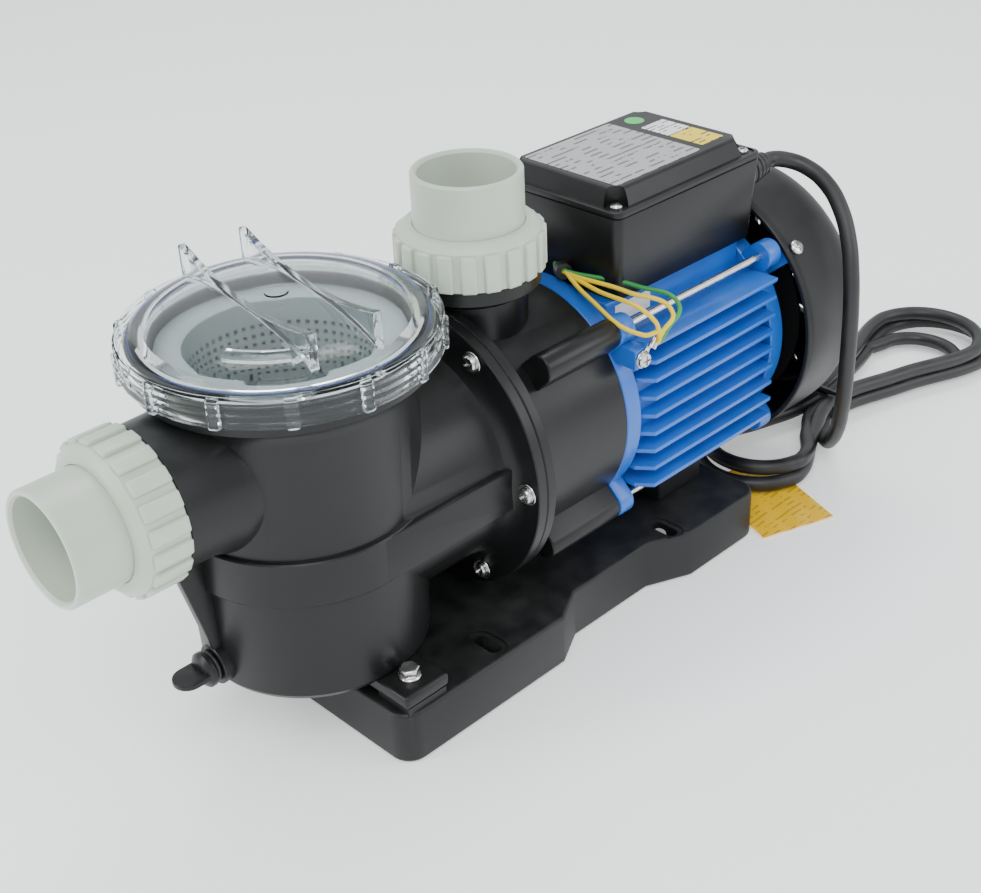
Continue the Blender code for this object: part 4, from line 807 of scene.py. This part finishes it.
def strainer_lid():
    ridge = []
    for k in range(4):
        z = 0.2135 + 0.0042 * k
        ridge += [(0.0784, z - 0.0006), (0.0798, z + 0.0004), (0.0798, z + 0.0016), (0.0784, z + 0.0026)]
    outer = [(0.0755, 0.2122), (0.0782, 0.212)] + ridge + [(0.0792, 0.229), (0.078, 0.2296)]
    outer += [(0.0735, 0.2292), (0.0722, 0.23)]
    dome = dome_line(0.0718, 0.23, 0.0128, 14)
    boss = [(0.006, 0.2428), (0.0056, 0.2436), (0, 0.2438)]
    under = [(0, 0.239)] + dome_line(0.0645, 0.2275, 0.0115, 12)[::-1]
    under += [(0.065, 0.2243), (0.0755, 0.2243)]
    lid = lathe("clear_lid", outer + dome[:-1] + boss + under, "Z", POT_AXIS, 128)
    turn = shifted(*POT_AXIS) @ turned(radians(-9), "Z")
    grips = []
    for k in range(14):
        grip = brick("grip", (0.0775, -0.003, 0.2124), (0.0815, 0.003, 0.2286))
        bevelled(grip, 0.0012, 3)
        grips.append(moved(grip, turn @ turned(TURN * (k + 0.5) / 14, "Z")))
    upright = Matrix(((0, 0, 1, 0), (1, 0, 0, 0), (0, 1, 0, 0), (0, 0, 0, 1)))
    for x in (-0.017, 0.017):
        crest = [(0.065 * s, 0.2518 - 0.009 * (1 - s * s)) for s in [-1 + k / 12 for k in range(25)]]
        outline = [(-0.065, 0.229)] + crest + [(0.065, 0.229)]
        fin = plate("fin", outline, -0.0022, 0.0022, turn @ shifted(x, 0, 0) @ upright)
        bevelled(fin, 0.0009, 3)
        buried = [(0, 0.2), (0.07, 0.2), (0.07, 0.2288)] + dome_line(0.07, 0.229, 0.0124, 10)
        grips.append(cut(fin, lathe("buried", buried + [(0, 0.2414)], "Z", POT_AXIS)))
    start, end, point = radians(205), radians(238), radians(249)
    mark = arc(0, 0, 0.056, start, end, 14) + arc(0, 0, 0.05, end, start, 14)
    head = [(r * cos(a), r * sin(a)) for r, a in ((0.0605, end), (0.0455, end), (0.053, point))]
    arrow, tip = [plate(name, outline, 0.2325, 0.2372) for name, outline in (("arrow", mark), ("tip", head))]
    shift = shifted(*POT_AXIS)
    lid = joined("clear_lid", [lid] + grips + [moved(arrow, shift), moved(tip, shift)])
    settle(lid, CLEAR, ["strainer_lid"], "lid", 30)
    ring = seal_ring("lid_seal_ring", 0.0698, 0.2224, 0.0014, 12, "Z", POT_AXIS, 96)
    settle(ring, SEAL, ["lid_oring"], "lid_seal")


# ---------- unions
def union_set(which, axis, centre, away, face, lip, end):
    """Nut and pipe tail. Heights run along the axis, and away is +1 or -1."""
    root = lip - away * 0.026
    nut = lathe(f"{which}_union_nut",
                [(0.0303, lip), (0.034, lip), (0.0352, lip - away * 0.0006), (0.038, lip - away * 0.003),
                 (0.0386, lip - away * 0.004), (0.0386, root + away * 0.001), (0.0376, root),
                 (0.0353, root), (0.0353, lip - away * 0.003), (0.0303, lip - away * 0.003)],
                axis, centre, 120)
    low, high = sorted((root + away * 0.0006, lip - away * 0.0046))
    pad = brick("pad", (0.037, -0.0042, low), (0.0409, 0.0042, high))
    bevelled(pad, 0.0012, 3)
    pads = copies("pads", pad, around(axis, centre, 20, TURN / 40))
    nut = joined(f"{which}_union_nut", [nut, pads])
    settle(nut, PVC, [f"{which}_nut"], f"{which}_ring", 30)
    seat, shoulder = face + away * 0.0032, lip - away * 0.0033
    tail = lathe(f"{which}_pipe_tail",
                 [(0.0265, seat), (0.034, seat), (0.034, shoulder), (0.03, shoulder),
                  (0.0299, end - away * 0.001), (0.0292, end), (0.0274, end), (0.0262, end - away * 0.0014),
                  (0.0258, end - away * 0.02), (0.025, end - away * 0.0215), (0.025, seat)],
                 axis, centre, 120)
    settle(tail, PVC, [f"{which}_tail"], f"{which}_union", 30)
    ring = seal_ring(f"{which}_seal_ring", 0.03, face + away * 0.0016, 0.0013, 10, axis, centre, 72)
    settle(ring, RUBBER, [f"{which}_oring"])


# ---------- casing
def ear(name, y, z, radius, low, high):
    """Rounded tab from the motor's middle out to one tie rod."""
    angle = atan2(z - SHAFT_Z, y)
    tip = arc(y, z - SHAFT_Z, radius, angle - pi / 2, angle + pi / 2, 14)
    inner_y, inner_z = 0.045 * cos(angle), 0.045 * sin(angle)
    over_y, over_z = -radius * sin(angle), radius * cos(angle)
    outline = tip + [(inner_y + over_y, inner_z + over_z), (inner_y - over_y, inner_z - over_z)]
    lay = Matrix(((0, 0, 1, 0), (1, 0, 0, 0), (0, 1, 0, SHAFT_Z), (0, 0, 0, 1)))
    return bevelled(plate(name, outline, low, high, lay), 0.0012, 3)


def pump_casing():
    low = -0.0397
    wall = [(0.056, low), (0.0829, low), (0.0835, low + 0.0006), (0.0835, low + 0.0057),
            (0.0829, low + 0.0063), (0.0735, low + 0.0066), (0.0708, low + 0.009), (0.07, low + 0.013),
            (0.07, 0.0384), (0.0694, 0.039), (0.062, 0.039), (0.062, 0.003), (0.011, 0.003),
            (0.011, -0.005), (0.056, -0.005)]
    casing = lathe("casing_moulding", wall, "X", SHAFT_AXIS, 128)
    spout = lathe("spout", [(0, 0.19), (0.0302, 0.19), (0.0302, 0.201), (0.0325, 0.2035), (0.0366, 0.205),
                            (0.0375, 0.2058), (0.0375, 0.213), (0.035, 0.2132), (0.035, 0.231),
                            (0, 0.231)], "Z", SPOUT_AXIS, 96)
    neck = drum("neck", 0.03, 0.13, 0.1905, "Z", SPOUT_AXIS)
    added(casing, spout, neck)
    hollow = drum("hollow", 0.056, -0.045, -0.005, "X", SHAFT_AXIS)
    behind = drum("behind", 0.062, 0.003, 0.05, "X", SHAFT_AXIS)
    bore = drum("bore", 0.0235, 0.186, 0.24, "Z", SPOUT_AXIS, 80)
    throat = brick("throat", (-0.0342, -0.017, 0.157), (-0.0065, 0.017, 0.19))
    cut(casing, hollow, behind, bore, throat)
    bosses = [ear("boss", y, z, 0.0084, -0.0178, 0.0388) for y, z in ROD_PLACES]
    casing = joined("casing_moulding", [casing] + bosses)
    settle(casing, BLACK, ["pump_casing"], smooth=32)
    repaint(BLACK, "diffuser", "impeller")


# ---------- motor
def end_shields():
    body = [(0.02, 0.0393), (0.0694, 0.0393), (0.07, 0.0399), (0.07, 0.0505), (0.0692, 0.0513),
            (0.064, 0.0513), (0.025, 0.0513), (0.025, 0.0558), (0.02, 0.0558)]
    front = lathe("front_shield", body, "X", SHAFT_AXIS, 128)
    ears = [ear("ear", y, z, 0.0085, 0.0395, 0.0511) for y, z in ROD_PLACES]
    x, y, z = middle("earth_screw")
    pad = bevelled(brick("pad", (x - 0.005, -0.074, z - 0.006), (x + 0.005, -0.05, z + 0.006)), 0.001, 3)
    front = joined("front_shield", [front] + ears + [pad])
    settle(front, BLUE, ["front_end_shield"])
    body = [(0.02, 0.1673), (0.025, 0.1673), (0.025, 0.1723), (0.0692, 0.1723), (0.07, 0.1731),
            (0.07, 0.1835), (0.0692, 0.1843), (0.011, 0.1843), (0.011, 0.1793), (0.02, 0.1793)]
    rear = lathe("rear_shield", body, "X", SHAFT_AXIS, 128)
    roof = brick("roof", (0.16, -0.05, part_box("terminal_box")[0][2] - 0.0006), (0.2, 0.05, 0.21))
    cut(rear, roof)
    ears = [ear("ear", y, z, 0.0085, 0.1725, 0.1841) for y, z in ROD_PLACES]
    lugs = []
    for angle in COWL_LUGS:
        outline = [(0.1823, 0.05), (0.1995, 0.05), (0.1995, 0.0838), (0.1905, 0.0838), (0.1905, 0.063),
                   (0.1823, 0.063)]
        lug = bevelled(plate("lug", outline, -0.0055, 0.0055, SIDE), 0.0008)
        spin = shifted(*SHAFT_AXIS) @ turned(radians(angle - 90), "X")
        lugs.append(moved(lug, spin))
    rear = joined("rear_shield", [rear] + ears + lugs)
    settle(rear, BLUE, ["rear_end_shield"])


FIN_PITCH = 0.0115
FIN_TIP = 0.073                    # half width over the fins


def motor_housing():
    start, end = 0.0516, 0.172
    tube = lathe("ribbed_housing", [(0.057, start), (0.0626, start), (0.063, start + 0.0004),
                                    (0.063, end - 0.0004), (0.0626, end), (0.057, end)],
                 "X", SHAFT_AXIS, 128)
    fins = []
    levels = [FIN_PITCH * k for k in range(-4, 5)]
    for side in (-1, 1):
        for level in levels:
            root = max(0.0, 0.06 ** 2 - level ** 2) ** 0.5 - 0.002
            outline = [(start + 0.001, side * root), (end - 0.001, side * root),
                       (end - 0.001, side * FIN_TIP), (start + 0.0085, side * FIN_TIP),
                       (start + 0.001, side * 0.0635)]
            z = SHAFT_Z + level
            fins.append(bevelled(plate("fin", outline, z - 0.0014, z + 0.0014), 0.0006, 2))
    seat = brick("box_seat", (start + 0.0005, -0.042, SHAFT_Z + 0.04),
                 (end - 0.0005, 0.042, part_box("motor_housing")[1][2]))
    bevelled(seat, 0.0015, 3)
    bore = drum("bore", 0.0575, start - 0.01, end + 0.01, "X", SHAFT_AXIS)
    cut(seat, bore)
    housing = joined("ribbed_housing", [tube] + fins + [seat])
    settle(housing, BLUE, ["motor_housing"])

    rod = lathe("tie_rods", [(0, 0.028), (0.0023, 0.028), (0.0023, 0.185), (0.0042, 0.185), (0.0045, 0.1853),
                             (0.0045, 0.1872), (0.004, 0.1881), (0, 0.1881)], "X", steps=32)
    rods = copies("tie_rods", rod, [shifted(0, y, z) for y, z in ROD_PLACES])
    settle(rods, STEEL, [f"tie_rod_{k}" for k in range(1, 5)])
    repaint(STEEL, "motor_shaft", "front_bearing", "rear_bearing", "rotor_core", "stator")
    repaint(COWL_BLACK, "cooling_fan")


def fan_cowl():
    start, end, radius, wall = 0.186, 0.253, 0.088, 0.003
    curl = 0.026
    roll = arc(0, 0, curl, 0, pi / 2, 12)
    outer = [(radius, start + 0.0008), (radius, start + 0.006), (radius - 0.0008, start + 0.0075)]
    outer += [(radius - curl * 0.7 + 0.7 * x - 0.0008, end - 0.0275 + y) for x, y in roll]
    outer += [(0.056, end - 0.0009), (0.0555, end), (0.02, end), (0, end)]
    inner = [(0, end - wall), (0.056, end - wall - 0.001)]
    inner += [(x - wall, min(z, end - wall - 0.0015)) for x, z in reversed(outer[3:16])]
    inner += [(radius - wall, start + 0.006), (radius - wall, start + 0.0004),
              (radius - wall + 0.0005, start), (radius - 0.0006, start)]
    cowl = lathe("fan_cowl", outer + inner, "X", SHAFT_AXIS, 144)
    for spin in around("X", SHAFT_AXIS, 10):
        slot = arc(0.026, 0, 0.002, pi / 2, 1.5 * pi, 8) + arc(0.062, 0, 0.002, -pi / 2, pi / 2, 8)
        tool = plate("slot", slot, end - 0.02, end + 0.01)
        cut(cowl, moved(tool, spin))
    settle(cowl, COWL_BLACK, ["fan_cover"])


# ---------- terminal box
FILM = 0.00015                     # thickness of a sticker


def terminal_box():
    low, seam = [corner[2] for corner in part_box("terminal_box")]
    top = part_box("terminal_lid")[1][2]
    x0, x1, half = 0.055, 0.1835, 0.048
    centre = (0.5 * (x0 + x1), 0)
    shell = plate("box_moulding", rounded(x0, -half, x1, half, 0.006, 8), low, seam)
    pinched(shell, low + 0.001, centre, (0.953, 0.9375), below=True)
    bevelled(shell, 0.0008, 2, 50)
    inside = plate("inside", rounded(x0 + 0.006, -half + 0.006, x1 - 0.006, half - 0.006, 0.004, 6),
                   low + 0.003, seam + 0.01)
    cut(shell, inside)
    settle(shell, BLACK, ["terminal_box"])

    base = seam + 0.0003
    rim = plate("box_lid", rounded(x0, -half, x1, half, 0.006, 8), base, base + 0.0034)
    bevelled(rim, 0.0006, 2, 50)
    crown = plate("crown", rounded(x0 + 0.0035, -half + 0.0035, x1 - 0.0035, half - 0.0035, 0.005, 8),
                  base + 0.002, top)
    pinched(crown, top - 0.0005, centre, (0.905, 0.87))
    bevelled(crown, 0.0016, 3, 30)
    added(rim, crown)
    well = [(0, base + 0.0027), (0.0068, base + 0.0027), (0.0078, top + 0.01), (0, top + 0.01)]
    cut(rim, *[lathe("well", well, "Z", (x, y, 0), 40) for x, y in BOX_SCREWS])
    settle(rim, BLACK, ["terminal_lid"])

    films = (("rating_film", rounded(0.069, -0.035, 0.142, 0.035, 0.002), PLATE_LABEL),
             ("white_film", rounded(0.148, -0.006, 0.168, 0.015, 0.001), WHITE_LABEL),
             ("yellow_film", rounded(0.148, -0.031, 0.168, -0.0068, 0.001), YELLOW_LABEL),
             ("green_film", arc(0.1555, 0.0265, 0.006, 0, TURN * 23 / 24, 23), GREEN_DOT))
    for name, outline, material in films:
        settle(plate(name, outline, top, top + FILM), material)
    repaint(BASKET, "run_capacitor")


def wire(name, route, radius, material, replaces=()):
    piece = smooth_curve(name, route, radius, 3)
    only(piece)
    bpy.ops.object.convert(target="MESH")
    settle(piece, material, replaces, smooth=None)


def earth_bond():
    """Three yellow leads and one green that leave one sleeve and loop down to the earth screw."""
    crest = SHAFT_Z + 0.07
    x, y, z = middle("earth_screw")
    start = Vector((0.0562, -0.004, crest + 0.0042))
    end = Vector((x + 0.0075, -0.079, z + 0.0095))
    runs = (("earth_lead", YELLOW_WIRE, (0.048, -0.036, 0.19), (0.05, -0.079, 0.183), 0.0),
            ("earth_lead_low", YELLOW_WIRE, (0.044, -0.036, 0.1862), (0.044, -0.0765, 0.176), 0.0011),
            ("earth_lead_high", YELLOW_WIRE, (0.056, -0.0545, 0.1905), (0.064, -0.08, 0.183), -0.0011),
            ("earth_lead_green", GREEN_WIRE, (0.066, -0.053, 0.19), (0.0705, -0.079, 0.185), 0.0004))
    for k, (name, material, over, down, lean) in enumerate(runs):
        first = start + Vector((0, 0.0026 * (k - 1.5), 0.0006 * (k % 2)))
        leave = first + Vector((-0.006, -0.008, 0.0012))
        last = end + Vector((lean, -0.0004 * k, 0))
        above = last + Vector((0.0015 * (k - 1), -0.0016, 0.006))
        wire(name, [first, leave, over, down, above, last], 0.0013, material,
             () if k else ["earth_wire"])
    sleeve = [start + Vector((-0.003, -0.0035, 0.0006)), start + Vector((-0.0062, -0.009, 0.0012))]
    wire("earth_sleeve", sleeve, 0.0048, RUBBER)
    ring = lathe("ring_terminal", [(0.0022, -0.0752), (0.005, -0.0752), (0.0052, -0.0748), (0.005, -0.0744),
                                   (0.0022, -0.0744)], "Y", (x, 0, z), 40)
    tongue = bevelled(brick("tongue", (0.003, -0.0752, -0.0018), (0.009, -0.0745, 0.0018)), 0.0003)
    crimp = lathe("crimp", [(0.0012, 0.0075), (0.0025, 0.0075), (0.0025, 0.0135), (0.0012, 0.0135)],
                  "X", (0, -0.0768, 0), 24)
    lean = shifted(x, 0, z) @ turned(radians(-52), "Y")
    lug = joined("ring_terminal", [ring, moved(tongue, lean), moved(crimp, lean)])
    settle(lug, STEEL)
    outward = shifted(x, -0.0752, z) @ turned(pi / 2, "X")
    screw = moved(cross_screw("earth_fixing", 0.0045, 0.0026, 0.009, 0.002), outward)
    settle(screw, STEEL, ["earth_screw"], smooth=30)


def housing_sticker():
    film = brick("bar_sticker", (0.06, 0.1655, 0.0421), (0.09, 0.1765, 0.04225), SIDE)
    settle(film, WHITE_LABEL)


base_moulding()
screws()
strainer_pot()
strainer_basket()
strainer_lid()
union_set("suction", "X", (0, 0, SUCTION_Z), -1, -0.2435, -0.252, -0.2805)
union_set("discharge", "Z", SPOUT_AXIS, 1, 0.231, 0.2395, 0.268)
pump_casing()
end_shields()
motor_housing()
fan_cowl()
terminal_box()
earth_bond()
housing_sticker()
repaint(RUBBER, "casing_oring", "seal_rotary")
repaint(BASKET, "seal_seat")
